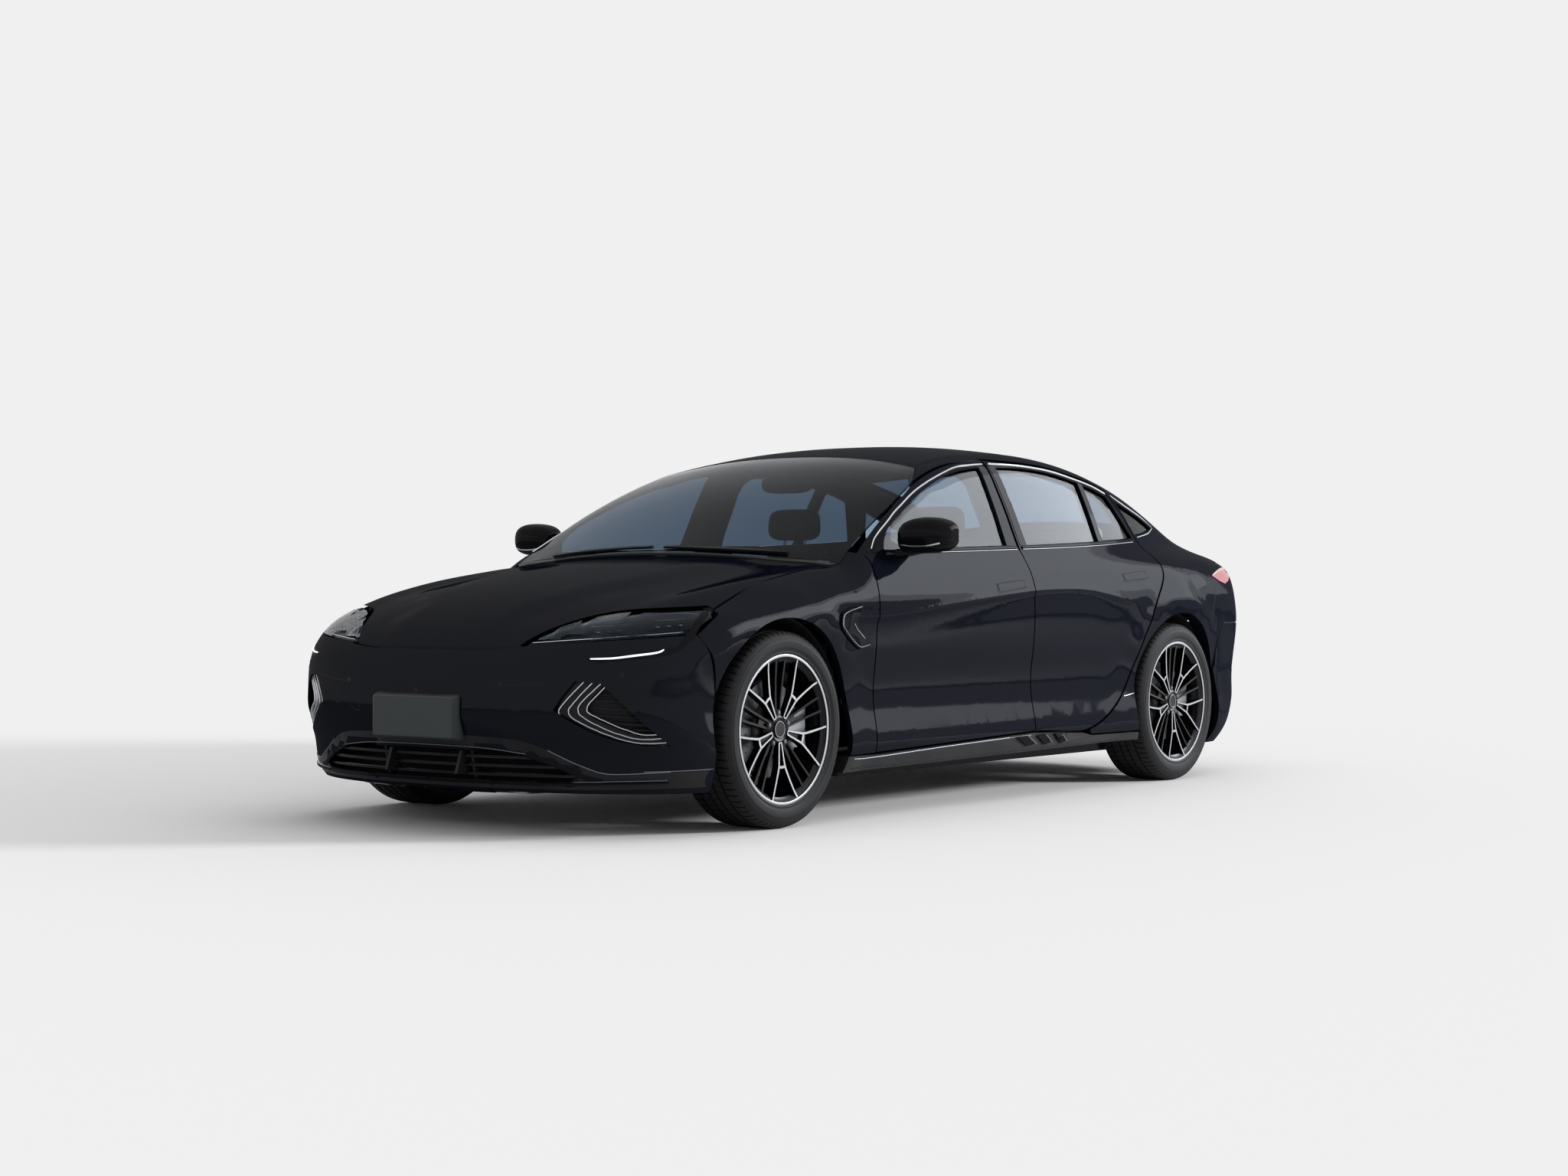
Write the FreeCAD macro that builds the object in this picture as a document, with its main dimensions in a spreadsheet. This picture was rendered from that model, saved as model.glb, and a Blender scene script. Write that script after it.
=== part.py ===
import FreeCAD
import Part
import math
import os
from FreeCAD import Vector

os.makedirs("parts", exist_ok=True)
doc = FreeCAD.newDocument("SedanCar")
sheet = doc.addObject("Spreadsheet::Sheet", "Sizes")

# Driving sizes in millimetres and degrees. The origin is on the ground under
# the middle of the car, the nose points along -Y and the driver sits at +X.
SIZES = {
    "body_length": 4800, "body_width": 1876, "body_height": 1448,
    "front_axle": 1510, "rear_axle": 1410, "half_track": 810,
    "tyre_radius": 347, "tyre_width": 235, "tyre_bead": 238,
    "rim_radius": 240, "rim_width": 218, "rim_lip": 267,
    "arch_radius": 392, "panel_gap": 7, "skin": 22, "door_depth": 112,
    "frame_depth": 54, "glass_depth": 9, "glass": 6,
    "disc_radius": 172, "disc_thick": 26, "hub_radius": 68,
    "floor_low": 250, "floor_thick": 26, "sill_inner": 640, "sill_outer": 792,
    "pack_half": 620, "pack_length": 1620, "pack_low": 132, "pack_high": 240,
    "wheel_rim": 182, "wheel_grip": 15,
}
for row, (alias, value) in enumerate(SIZES.items(), start=1):
    sheet.set("A%d" % row, alias)
    sheet.set("B%d" % row, str(value))
    sheet.setAlias("B%d" % row, alias)
doc.recompute()


def size(alias):
    return float(getattr(sheet, alias))


# Every profile below is drawn for the nominal car and scaled by these three.
SX = size("body_width") / 1876.0
SY = size("body_length") / 4800.0
SZ = size("body_height") / 1448.0
FRONT = size("front_axle")
REAR = size("rear_axle")
TRACK = size("half_track")
WHEEL = size("tyre_radius")
ARCH = size("arch_radius")
GAP = size("panel_gap")
SKIN = size("skin")


class Curve:
    """Natural cubic spline through (u, v) points, straight beyond its ends."""

    def __init__(self, *points):
        self.u = [float(p[0]) for p in points]
        self.v = [float(p[1]) for p in points]
        count = len(points)
        self.step = [self.u[i + 1] - self.u[i] for i in range(count - 1)]
        low = [0.0] * count
        mid = [1.0] * count
        high = [0.0] * count
        rhs = [0.0] * count
        for i in range(1, count - 1):
            before = (self.v[i] - self.v[i - 1]) / self.step[i - 1]
            after = (self.v[i + 1] - self.v[i]) / self.step[i]
            low[i] = self.step[i - 1]
            mid[i] = 2 * (self.step[i - 1] + self.step[i])
            high[i] = self.step[i]
            rhs[i] = 6 * (after - before)
        for i in range(1, count):
            ratio = low[i] / mid[i - 1]
            mid[i] -= ratio * high[i - 1]
            rhs[i] -= ratio * rhs[i - 1]
        self.bend = [0.0] * count
        self.bend[-1] = rhs[-1] / mid[-1]
        for i in range(count - 2, -1, -1):
            self.bend[i] = (rhs[i] - high[i] * self.bend[i + 1]) / mid[i]

    def __call__(self, at):
        u, v, bend, step = self.u, self.v, self.bend, self.step
        if at <= u[0]:
            slope = (v[1] - v[0]) / step[0] - step[0] * (2 * bend[0] + bend[1]) / 6
            return v[0] + slope * (at - u[0])
        if at >= u[-1]:
            slope = (v[-1] - v[-2]) / step[-1] + step[-1] * (2 * bend[-1] + bend[-2]) / 6
            return v[-1] + slope * (at - u[-1])
        low, high = 0, len(u) - 1
        while high - low > 1:
            mid = (low + high) // 2
            if u[mid] <= at:
                low = mid
            else:
                high = mid
        span = step[low]
        past = at - u[low]
        left = u[high] - at
        cubic = (bend[low] * left ** 3 + bend[high] * past ** 3) / (6 * span)
        return (cubic + (v[low] / span - bend[low] * span / 6) * left
                + (v[high] / span - bend[high] * span / 6) * past)


def ease(low, high, at):
    t = min(1.0, max(0.0, (at - low) / (high - low)))
    return t * t * t * (t * (6 * t - 15) + 10)


def round_min(a, b, radius):
    overlap = max(radius - abs(a - b), 0.0) / radius
    return min(a, b) - overlap ** 3 * radius / 6.0


def round_max(a, b, radius):
    return -round_min(-a, -b, radius)


# Centre line of the bonnet, and of the screen, roof, rear window and deck.
bonnet_line = Curve((-2440, 520), (-2390, 596), (-2347, 648), (-2280, 703), (-2200, 747),
                    (-2050, 806), (-1800, 868), (-1500, 922), (-1250, 955), (-1000, 975),
                    (-700, 985))
roof_line = Curve((-1300, 872), (-1160, 958), (-1000, 1050), (-800, 1160), (-600, 1255),
                  (-450, 1314), (-350, 1347), (-200, 1383), (0, 1418), (180, 1438),
                  (350, 1446), (550, 1443), (750, 1430), (950, 1407), (1150, 1372),
                  (1350, 1326), (1550, 1269), (1750, 1205), (1900, 1154), (2050, 1105),
                  (2150, 1076), (2230, 1058), (2320, 1044), (2450, 1032))
# How far the roof sections sweep back and drop away from the centre line.
sweep = Curve((-1300, 2.7e-4), (-900, 2.5e-4), (-350, 1.4e-4), (200, 0.2e-4),
              (900, -0.6e-4), (1500, -1.4e-4), (1900, -1.9e-4), (2400, -2.2e-4))
crown = Curve((-1300, 0), (-900, 10), (-350, 34), (300, 44), (900, 40), (1500, 34),
              (1900, 34), (2400, 52))
# Half width of the flank by height, and its changes along the car.
flank = Curve((60, 800), (120, 858), (190, 902), (250, 922), (300, 921), (380, 905),
              (460, 896), (560, 904), (660, 920), (750, 930), (810, 929), (860, 917),
              (910, 897), (960, 871), (1010, 845), (1100, 807), (1200, 763), (1300, 715),
              (1400, 664), (1500, 610))
taper = Curve((-2500, -120), (-2200, -62), (-1950, -22), (-1700, -4), (-1500, 3),
              (-1100, 0), (0, 0), (900, 0), (1250, 3), (1450, 6), (1700, -6),
              (1950, -32), (2200, -74), (2500, -140))
cabin = Curve((-1500, -60), (-1000, -22), (-500, -6), (0, 0), (400, 0), (800, -14),
              (1100, -38), (1350, -72), (1600, -112), (1850, -138), (2100, -140),
              (2400, -128))
# Middle profiles of the nose and the tail.
nose = Curve((60, -2190), (120, -2270), (175, -2330), (230, -2352), (300, -2366),
             (370, -2394), (450, -2400), (530, -2396), (590, -2384), (650, -2350),
             (720, -2290), (800, -2180))
tail = Curve((150, 2170), (220, 2265), (300, 2322), (400, 2362), (520, 2388), (640, 2396),
             (740, 2380), (840, 2352), (930, 2335), (1000, 2325), (1060, 2318), (1200, 2300))
# Bonnet: side drop, the wing crest beside it and the two raised centre lines.
bonnet_drop = Curve((-2440, 28), (-2200, 44), (-1800, 58), (-1400, 62), (-1000, 48), (-700, 40))
crest_x = Curve((-2300, 600), (-2000, 690), (-1700, 742), (-1400, 762), (-1100, 772), (-800, 780))
crest_z = Curve((-2450, 0), (-2250, 0), (-2000, 10), (-1700, 26), (-1500, 30), (-1250, 22),
                (-1000, 8), (-900, 0), (-800, 0))
ridge_x = Curve((-2400, 190), (-2200, 235), (-2000, 300), (-1700, 385), (-1400, 440),
                (-1100, 470))
ridge_z = Curve((-2440, 3), (-2300, 9), (-2000, 12), (-1600, 10), (-1300, 6), (-1100, 2),
                (-1000, 0), (-700, 0))
edge_round = Curve((-2450, 130), (-2000, 150), (-1500, 150), (-1150, 110), (-950, 80),
                   (-700, 75), (-300, 90), (300, 100), (1200, 110), (1700, 150),
                   (2000, 170), (2400, 120))


# The crease along the doors: its height by length, and how far the skin stands
# out at it and falls in below it, by the distance down from it.
crease_z = Curve((-2300, 738), (-886, 738), (-682, 755), (-363, 786), (-21, 817), (221, 835),
                 (470, 840), (620, 836), (781, 815), (978, 787), (2300, 780))
crease_depth = Curve((-60, 0), (-30, 0.3), (-12, 0.9), (0, 1.6), (12, -3.4), (30, -7.2),
                     (58, -7.4), (95, -4.4), (150, -0.9), (190, 0))


def crease_at(y):
    return min(840.0, max(738.0, crease_z(y)))


def crease(y, z):
    below = crease_at(y) - z
    if below < -60 or below > 190:
        return 0.0
    return crease_depth(below) * ease(-1180, -960, y) * (1 - ease(860, 1060, y))


def plan(x, half, depth, power):
    """How far the nose or tail falls back at x, as a superellipse in plan."""
    ratio = min(abs(x) / half, 0.9999)
    back = depth * (1 - (1 - ratio ** power) ** (1 / power))
    return back + 8 * max(0.0, abs(x) - half * 0.9999)


def flank_x(y, z):
    wide = flank(z) + taper(y) + cabin(y) * ease(920, 1080, z)
    for wheel_y in (-FRONT / SY, REAR / SY):
        reach = math.hypot(y - wheel_y, z - WHEEL / SZ)
        wide += 13.0 * (1 - ease(445, 525, reach))
    return wide + crease(y, z)


def bonnet_top(x, y):
    pulled = y - 1.0e-4 * x * x * ease(-1700, -2300, y)
    high = bonnet_line(pulled) - bonnet_drop(y) * (abs(x) / 700.0) ** 2.2
    if y < -900:
        high += crest_z(y) * math.exp(-((abs(x) - crest_x(y)) / 85.0) ** 2)
        high -= ridge_z(y) * ease(-10, 55, abs(x) - ridge_x(y))
    return high


def cabin_top(x, y):
    return roof_line(y - sweep(y) * x * x) - crown(y) * (abs(x) / 600.0) ** 2.3


def inside(x, y, z):
    """Positive inside the nominal body, negative outside."""
    high = cabin_top(x, y)
    if y < -700:
        high = round_max(bonnet_top(x, y), high, 14.0)
    value = round_min(flank_x(y, z) - abs(x), high - z, edge_round(y))
    if y < -1300:
        value = round_min(value, y - nose(z) - plan(x, 938.0, 620.0, 2.3), 90.0)
    if y > 1500:
        value = round_min(value, tail(z) - plan(x, 938.0, 540.0, 2.4) - y, 70.0)
    return value


def skin_point(origin, way, depths):
    """The skin along a ray, and points the given depths below it."""
    def at(reach):
        return inside(origin[0] + way[0] * reach, origin[1] + way[1] * reach,
                      origin[2] + way[2] * reach)
    far = 1300.0
    while at(far) < 0 and far > 0:
        far -= 30.0
    low, high = far, far + 30.0
    for _ in range(26):
        mid = 0.5 * (low + high)
        if at(mid) > 0:
            low = mid
        else:
            high = mid
    reach = 0.5 * (low + high)
    spot = [origin[i] + way[i] * reach for i in range(3)]
    slope = [(inside(*[spot[j] + (2 if j == i else 0) for j in range(3)])
              - inside(*[spot[j] - (2 if j == i else 0) for j in range(3)])) / 4
             for i in range(3)]
    steep = math.sqrt(sum(s * s for s in slope))
    facing = max(0.45, -sum(slope[i] * way[i] for i in range(3)) / steep)
    out = []
    for depth in depths:
        thick = depth(spot) if callable(depth) else depth
        out.append(Vector(SX * (spot[0] - way[0] * thick / facing),
                          SY * (spot[1] - way[1] * thick / facing),
                          SZ * (spot[2] - way[2] * thick / facing)))
    return out


def sheet_of(rays, depths):
    """Interpolated surfaces through a grid of rays, one per depth."""
    grid = [[skin_point(origin, way, depths) for origin, way in row] for row in rays]
    faces = []
    for layer in range(len(depths)):
        surface = Part.BSplineSurface()
        surface.interpolate([[spot[layer] for spot in row] for row in grid])
        faces.append(surface)
    return faces


def slab(outer, inner):
    """Closed solid between two surfaces with the same grid."""
    faces = [outer.toShape(), inner.toShape()]
    bounds = outer.bounds()
    for fixed in (0, 1):
        for end in (0, 1):
            value = bounds[2 * fixed + end]
            pair = []
            for surface in (outer, inner):
                line = surface.uIso(value) if fixed == 0 else surface.vIso(value)
                pair.append(line.toShape())
            faces.append(Part.makeRuledSurface(pair[0], pair[1]))
    shell = Part.makeShell(faces)
    shell.sewShape()
    solid = Part.makeSolid(Part.Shell(shell.Faces))
    if solid.Volume < 0:
        solid.reverse()
    return solid


def flank_rays():
    rows = []
    for y in (-2010, -1960, -1900, -1830, -1750, -1660, -1570, -1480, -1390, -1300, -1210,
              -1120, -1030, -950, -870, -790, -700, -600, -500, -380, -250, -100, 50, 200,
              360, 520, 680, 820, 940, 1040, 1130, 1220, 1310, 1410, 1510, 1600, 1680,
              1760, 1850, 1940, 2030, 2110, 2180):
        row = []
        near = [math.degrees(math.atan((crease_at(y) + lift - 500) / 925.0))
                for lift in (-92, -60, -34, -14, 0, 13, 34, 60)]
        for turn in (-23, -20, -17, -13.5, -9.5, -5.5, -1.5, 3, 6.5, *near,
                     26, 28.5, 31, 34, 38, 42, 46, 50, 54, 58, 62):
            angle = math.radians(turn)
            row.append(((0, y, 500), (math.cos(angle), 0, math.sin(angle))))
        rows.append(row)
    return rows


def top_rays():
    edge = Curve((-1180, 800), (-950, 790), (-300, 690), (0, 655), (900, 640), (1500, 600),
                 (1800, 585), (2310, 600))
    rows = []
    for y in (-1150, -1100, -1040, -980, -900, -800, -700, -600, -500, -400, -300, -200,
              -80, 60, 200, 350, 520, 700, 860, 1000, 1130, 1260, 1400, 1530, 1660, 1780,
              1880, 1970, 2060, 2150, 2230, 2300):
        row = []
        for part in (-1, -0.92, -0.8, -0.62, -0.42, -0.21, 0, 0.21, 0.42, 0.62, 0.8, 0.92, 1):
            row.append(((part * edge(y), y, 560), (0, 0, 1)))
        rows.append(row)
    return rows


def bonnet_rays():
    ahead = Curve((0, -2356), (200, -2350), (330, -2330), (430, -2296), (540, -2210),
                  (700, -2040), (850, -1860))
    rows = []
    for part in (0, 0.02, 0.05, 0.09, 0.14, 0.2, 0.27, 0.35, 0.44, 0.53, 0.62, 0.71, 0.8,
                 0.88, 0.94, 1):
        row = []
        for x in (-850, -810, -770, -720, -650, -570, -480, -390, -300, -220, -140, -70, 0,
                  70, 140, 220, 300, 390, 480, 570, 650, 720, 770, 810, 850):
            y = ahead(abs(x)) + part * (-1000 - ahead(abs(x)))
            row.append(((x, y, 400), (0, 0, 1)))
        rows.append(row)
    return rows


def end_rays(y, z, side, turns, lifts):
    rows = []
    for turn in turns:
        row = []
        for lift in lifts:
            a, b = math.radians(turn), math.radians(lift)
            row.append(((0, y, z), (math.sin(a) * math.cos(b), side * math.cos(a) * math.cos(b),
                                    math.sin(b))))
        rows.append(row)
    return rows


def door_inner(spot):
    """Depth of the door's inner face: deep below the belt, thin beside the glass."""
    belt = 962 + 0.045 * (spot[1] + 900)
    return 112 - 78 * ease(belt - 62, belt + 4, spot[2])


doc.recompute()
NOSE = [-74, -69, -63, -56, -48, -40, -32, -24, -16, -8, 0, 8, 16, 24, 32, 40, 48, 56, 63, 69, 74]
FLANK_LAYERS = [0, 11, SKIN, door_inner, size("frame_depth"),
                lambda spot: door_inner(spot) + 16, lambda spot: door_inner(spot) + 54,
                size("glass_depth"), size("glass_depth") + size("glass"), -10,
                lambda spot: door_inner(spot) + 11]
(flank_out, flank_box, flank_skin, flank_deep, flank_frame, pillar_out, pillar_in,
 glass_out, glass_in, rebate_out, rebate_in) = sheet_of(flank_rays(), FLANK_LAYERS)
top_out, top_glass, top_frame = sheet_of(top_rays(), [0, size("glass"), 40])
bonnet_out, bonnet_in = sheet_of(bonnet_rays(), [0, 20])
nose_out, nose_in, lamp_in, grille_out, recess_out, recess_in = sheet_of(
    end_rays(-1500, 450, -1, NOSE, [-21, -18, -15, -12, -9, -6, -3, 0, 3, 6, 9, 12, 14, 16,
                                    18, 20, 22, 24]), [0, SKIN, 60, 12, 40, 52])
tail_out, tail_in, tail_lamp = sheet_of(
    end_rays(1500, 600, 1, NOSE, [-33, -29, -25, -21, -17, -13, -9, -5, -1, 3, 7, 11, 15,
                                  19, 22, 25, 28, 31, 34, 38, 42, 47, 52, 57]), [0, SKIN, 50])


def feature(name, shape):
    made = doc.addObject("Part::Feature", name)
    made.Shape = shape
    return made


door_box_slab = feature("DoorBoxSlab", slab(flank_box, flank_deep))
door_skin_slab = feature("DoorSkinSlab", slab(flank_out, flank_skin))
frame_slab = feature("FrameSlab", slab(flank_out, flank_frame))
pillar_slab = feature("PillarSlab", slab(pillar_out, pillar_in))
rebate_slab = feature("RebateSlab", slab(rebate_out, rebate_in))
side_glass_slab = feature("SideGlassSlab", slab(glass_out, glass_in))
top_glass_slab = feature("TopGlassSlab", slab(top_out, top_glass))
top_frame_slab = feature("TopFrameSlab", slab(top_out, top_frame))
bonnet_slab = feature("BonnetSlab", slab(bonnet_out, bonnet_in))
nose_slab = feature("NoseSlab", slab(nose_out, nose_in))
lamp_slab = feature("LampSlab", slab(nose_out, lamp_in))
recess_slab = feature("RecessSlab", slab(recess_out, recess_in))
grille_slab = feature("GrilleSlab", slab(grille_out, recess_out))
tail_slab = feature("TailSlab", slab(tail_out, tail_in))
tail_lamp_slab = feature("TailLampSlab", slab(tail_out, tail_lamp))


def trace(outline, plane):
    """Closed wire through an outline: a list of runs, each a line or a spline."""
    def spot(pair):
        if plane == "side":
            return Vector(0, SY * pair[0], SZ * pair[1])
        if plane == "top":
            return Vector(SX * pair[0], SY * pair[1], 0)
        return Vector(SX * pair[0], 0, SZ * pair[1])
    edges = []
    for run in outline:
        if len(run) == 2:
            edges.append(Part.makeLine(spot(run[0]), spot(run[1])))
        else:
            bend = Part.BSplineCurve()
            bend.interpolate([spot(pair) for pair in run])
            edges.append(bend.toShape())
    return Part.Wire(edges)


def closed(*runs):
    """Runs that each start where the last one ended, closed back to the first."""
    chain = [list(runs[0])]
    for run in runs[1:]:
        chain.append([chain[-1][-1]] + list(run))
    if chain[-1][-1] != chain[0][0]:
        chain.append([chain[-1][-1], chain[0][0]])
    return chain


def area(outline):
    flat = [pair for run in outline for pair in run[:-1]]
    total = 0.0
    for i, (a, b) in enumerate(flat):
        c, d = flat[(i + 1) % len(flat)]
        total += a * d - c * b
    return total / 2


def grow(outline, by):
    """The outline moved outward by a distance, corners kept sharp."""
    sign = 1.0 if area(outline) > 0 else -1.0

    def way(a, b):
        long = math.hypot(b[0] - a[0], b[1] - a[1])
        return ((b[0] - a[0]) / long, (b[1] - a[1]) / long)

    def shifted(pair, before, after):
        n1 = (sign * before[1], -sign * before[0])
        n2 = (sign * after[1], -sign * after[0])
        scale = by / max(0.35, 1 + n1[0] * n2[0] + n1[1] * n2[1])
        return (pair[0] + scale * (n1[0] + n2[0]), pair[1] + scale * (n1[1] + n2[1]))

    moved = []
    count = len(outline)
    for k, run in enumerate(outline):
        ahead = outline[(k + 1) % count]
        behind = outline[k - 1]
        new = []
        for i, pair in enumerate(run):
            before = way(run[i - 1], pair) if i > 0 else way(behind[-2], behind[-1])
            after = way(pair, run[i + 1]) if i < len(run) - 1 else way(ahead[0], ahead[1])
            new.append(shifted(pair, before, after))
        moved.append(new)
    for k in range(count):
        moved[k][0] = moved[k - 1][-1]
    return moved


def prism(name, outline, plane, low, high):
    """Block with the outline as its section, across the car, down it or along it."""
    wire = doc.addObject("Part::Feature", name + "Outline")
    wire.Shape = trace(outline, plane)
    block = doc.addObject("Part::Extrusion", name)
    block.Base = wire
    block.DirMode = "Custom"
    block.Dir = {"side": Vector(1, 0, 0), "top": Vector(0, 0, 1), "front": Vector(0, 1, 0)}[plane]
    block.Solid = True
    scale = {"side": SX, "top": SZ, "front": SY}[plane]
    block.LengthFwd = (high - low) * scale
    wire.Placement.Base = block.Dir * (low * scale)
    return block


def common(name, base, tool):
    made = doc.addObject("Part::Common", name)
    made.Base = base
    made.Tool = tool
    return made


def cut(name, base, *tools):
    for index, tool in enumerate(tools):
        made = doc.addObject("Part::Cut", name if index == len(tools) - 1 else name + "Step")
        made.Base = base
        made.Tool = tool
        base = made
    return made


def fuse(name, *parts):
    made = doc.addObject("Part::MultiFuse", name)
    made.Shapes = list(parts)
    made.Refine = False
    return made


def mirror(name, source):
    made = doc.addObject("Part::Mirroring", name)
    made.Source = source
    made.Normal = Vector(1, 0, 0)
    return made


def box(name, x0, x1, y0, y1, z0, z1):
    """Box between planes, each a number for the nominal car or a cell formula."""
    made = doc.addObject("Part::Box", name)
    for low, high, length, axis, whole in ((x0, x1, "Length", "x", "body_width / 1876"),
                                           (y0, y1, "Width", "y", "body_length / 4800"),
                                           (z0, z1, "Height", "z", "body_height / 1448")):
        ends = []
        for value in (low, high):
            if isinstance(value, str):
                ends.append(value)
            else:
                ends.append("(%s) * Sizes.%s" % (value, whole))
        made.setExpression(length, "(%s) - (%s)" % (ends[1], ends[0]))
        made.setExpression("Placement.Base." + axis, ends[0])
    return made


def cylinder(name, radius, length, x, y, z, axis="x"):
    """Cylinder centred on a point, with its sizes as cell formulas."""
    made = doc.addObject("Part::Cylinder", name)
    made.setExpression("Radius", str(radius))
    made.setExpression("Height", str(length))
    turn = {"x": FreeCAD.Rotation(Vector(0, 1, 0), 90), "z": FreeCAD.Rotation(),
            "y": FreeCAD.Rotation(Vector(1, 0, 0), -90)}[axis]
    made.Placement = FreeCAD.Placement(Vector(0, 0, 0), turn)
    start = {"x": str(x), "y": str(y), "z": str(z)}
    start[axis] = "(%s) - (%s) / 2" % (start[axis], length)
    for letter, formula in start.items():
        made.setExpression("Placement.Base." + letter, formula)
    return made


nodes = {}


def node(label, made):
    made.Label = label
    nodes[label] = made
    return made


def both(label, made):
    node(label + "_left", made)
    node(label + "_right", mirror(label.title().replace("_", "") + "Right", made))


def pair(label, made):
    """One node of two like solids, left and right, that don't touch."""
    name = label.title().replace("_", "")
    return node(label, fuse(name + "Pair", made, mirror(name + "Right", made)))


def whole(name, source, count=1):
    """The largest solids of a cut panel, without the crumbs at its corners."""
    doc.recompute()
    solids = sorted(source.Shape.Solids, key=lambda solid: -solid.Volume)[:count]
    return feature(name, solids[0] if count == 1 else Part.makeCompound(solids))


# Outlines on the left flank, (y, z).
FRONT_DOOR = closed([(-946, 241), (-932, 400), (-930, 543), (-936, 700), (-938, 800), (-930, 900), (-918, 963)],
                    [(-736, 1084), (-594, 1161), (-376, 1255), (-98, 1333), (40, 1352), (165, 1361)],
                    [(163, 1014)], [(172, 992)],
                    [(178, 960), (180, 927), (171, 806), (180, 600), (182, 430), (180, 272)])
REAR_DOOR = closed([(187.5, 272), (189.5, 430), (187.5, 600), (178.5, 806), (187.5, 927),
                    (185.5, 960), (181, 992)],
                   [(181, 1362)],
                   [(450, 1361), (692, 1349), (900, 1323), (1045, 1301), (1176, 1268)],
                   [(1262, 1140), (1310, 1030), (1321, 960), (1275, 880), (1188, 800), (1120, 700),
                    (1057, 586), (985, 470), (880, 370), (740, 298), (560, 256)])
FRONT_GLASS = closed([(-800, 985), (-725, 1056), (-583, 1133), (-366, 1226), (-92, 1305), (108, 1330)],
                     [(84, 1014)], [(-350, 1000), (-800, 985)])
REAR_GLASS = closed([(246, 1018), (240, 1338)], [(450, 1342), (692, 1330), (906, 1298)],
                    [(886, 1044)], [(560, 1030), (246, 1018)])
REAR_VENT = closed([(934, 1048), (950, 1289)], [(1045, 1274), (1150, 1246)],
                   [(1216, 1150), (1268, 1066)], [(1100, 1056), (934, 1048)])
QUARTER_GLASS = closed([(1232, 1228), (1335, 1197), (1470, 1155), (1580, 1117)],
                       [(1440, 1092), (1318, 1080)], [(1285, 1145), (1232, 1228)])
FENDER = closed([(-948, 239), (-946, 241)],
                [(-932, 400), (-930, 543), (-936, 700), (-938, 800), (-930, 900), (-918, 963)],
                [(-1000, 1010)], [(-2000, 1010)], [(-2000, 790)],
                [(-1955, 690), (-1900, 600), (-1880, 520), (-1880, 400)], [(-1600, 300)],
                [(-1170, 239)])
NOSE_END = closed([(-1962, 690), (-1907, 600), (-1887, 520), (-1887, 400), (-1887, 150)],
                  [(-2500, 150)], [(-2500, 830)], [(-1700, 830)], [(-1700, 765)])
# Outlines seen from above, (x, y), and from the front or back, (x, z).
SCREEN = closed([(-797, -1008), (-610, -1058), (-324, -1105), (0, -1118), (324, -1105),
                 (610, -1058), (797, -1008)],
                [(748, -649), (700, -400), (626, -258)],
                [(400, -232), (0, -222), (-400, -232), (-626, -258)],
                [(-700, -400), (-748, -649), (-797, -1008)])
ROOF = closed([(-598, -205), (0, -200), (598, -205)], [(576, 300), (560, 930)],
              [(0, 948), (-560, 930)], [(-576, 300), (-598, -205)])
REAR_SCREEN = closed([(-546, 1032), (0, 1050), (546, 1032)], [(530, 1500), (540, 1848)],
                     [(0, 1864), (-540, 1848)], [(-530, 1500), (-546, 1032)])
BONNET = closed([(-401, -2292), (-271, -2323), (0, -2340), (271, -2323), (401, -2292)],
                [(560, -2160), (700, -1990), (834, -1826)],
                [(806, -1660), (782, -1447), (766, -1237), (772, -1058)],
                [(610, -1096), (324, -1138), (0, -1152), (-324, -1138), (-610, -1096), (-772, -1058)],
                [(-766, -1237), (-782, -1447), (-806, -1660), (-834, -1826)],
                [(-700, -1990), (-560, -2160), (-401, -2292)])
LAMP = closed([(398, 648), (462, 702), (537, 741), (680, 764), (826, 777)],
              [(868, 742), (872, 684)], [(760, 672), (600, 660), (398, 648)])
VENT = closed([(616, 530), (578, 480), (548, 433)], [(640, 372), (757, 322), (848, 312)],
              [(770, 430), (692, 522)], [(616, 530)])
GRILLE = closed([(-560, 186), (-600, 214)], [(-425, 280), (-218, 297)], [(218, 297)],
                [(425, 280), (600, 214)], [(560, 186)])
LID_BACK = closed([(-560, 1300), (-560, 905)], [(-470, 690), (-430, 664)], [(430, 664)],
                  [(470, 690), (560, 905)], [(560, 1300)])

front_door_block = prism("FrontDoorBlock", FRONT_DOOR, "side", 300, 1100)
rear_door_block = prism("RearDoorBlock", REAR_DOOR, "side", 300, 1100)
front_door_hole = prism("FrontDoorHole", grow(FRONT_DOOR, GAP), "side", 300, 1100)
rear_door_hole = prism("RearDoorHole", grow(REAR_DOOR, GAP + 3), "side", 300, 1100)
front_door_core = prism("FrontDoorCore", grow(FRONT_DOOR, -13), "side", 300, 1100)
rear_door_core = prism("RearDoorCore", grow(REAR_DOOR, -13), "side", 300, 1100)
front_window = prism("FrontWindow", FRONT_GLASS, "side", 300, 1100)
rear_window_hole = prism("RearWindow", REAR_GLASS, "side", 300, 1100)
vent_window = prism("VentWindow", REAR_VENT, "side", 300, 1100)
quarter_window = prism("QuarterWindow", QUARTER_GLASS, "side", 300, 1100)
front_pane = prism("FrontPane", grow(FRONT_GLASS, -2), "side", 300, 1100)
rear_pane = prism("RearPane", grow(REAR_GLASS, -2), "side", 300, 1100)
vent_pane = prism("VentPane", grow(REAR_VENT, -2), "side", 300, 1100)
quarter_pane = prism("QuarterPane", grow(QUARTER_GLASS, -2), "side", 300, 1100)
front_arch = cylinder("FrontArch", "Sizes.arch_radius", 700, 750, "-Sizes.front_axle", "Sizes.tyre_radius")
rear_arch = cylinder("RearArch", "Sizes.arch_radius", 700, 750, "Sizes.rear_axle", "Sizes.tyre_radius")
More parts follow.
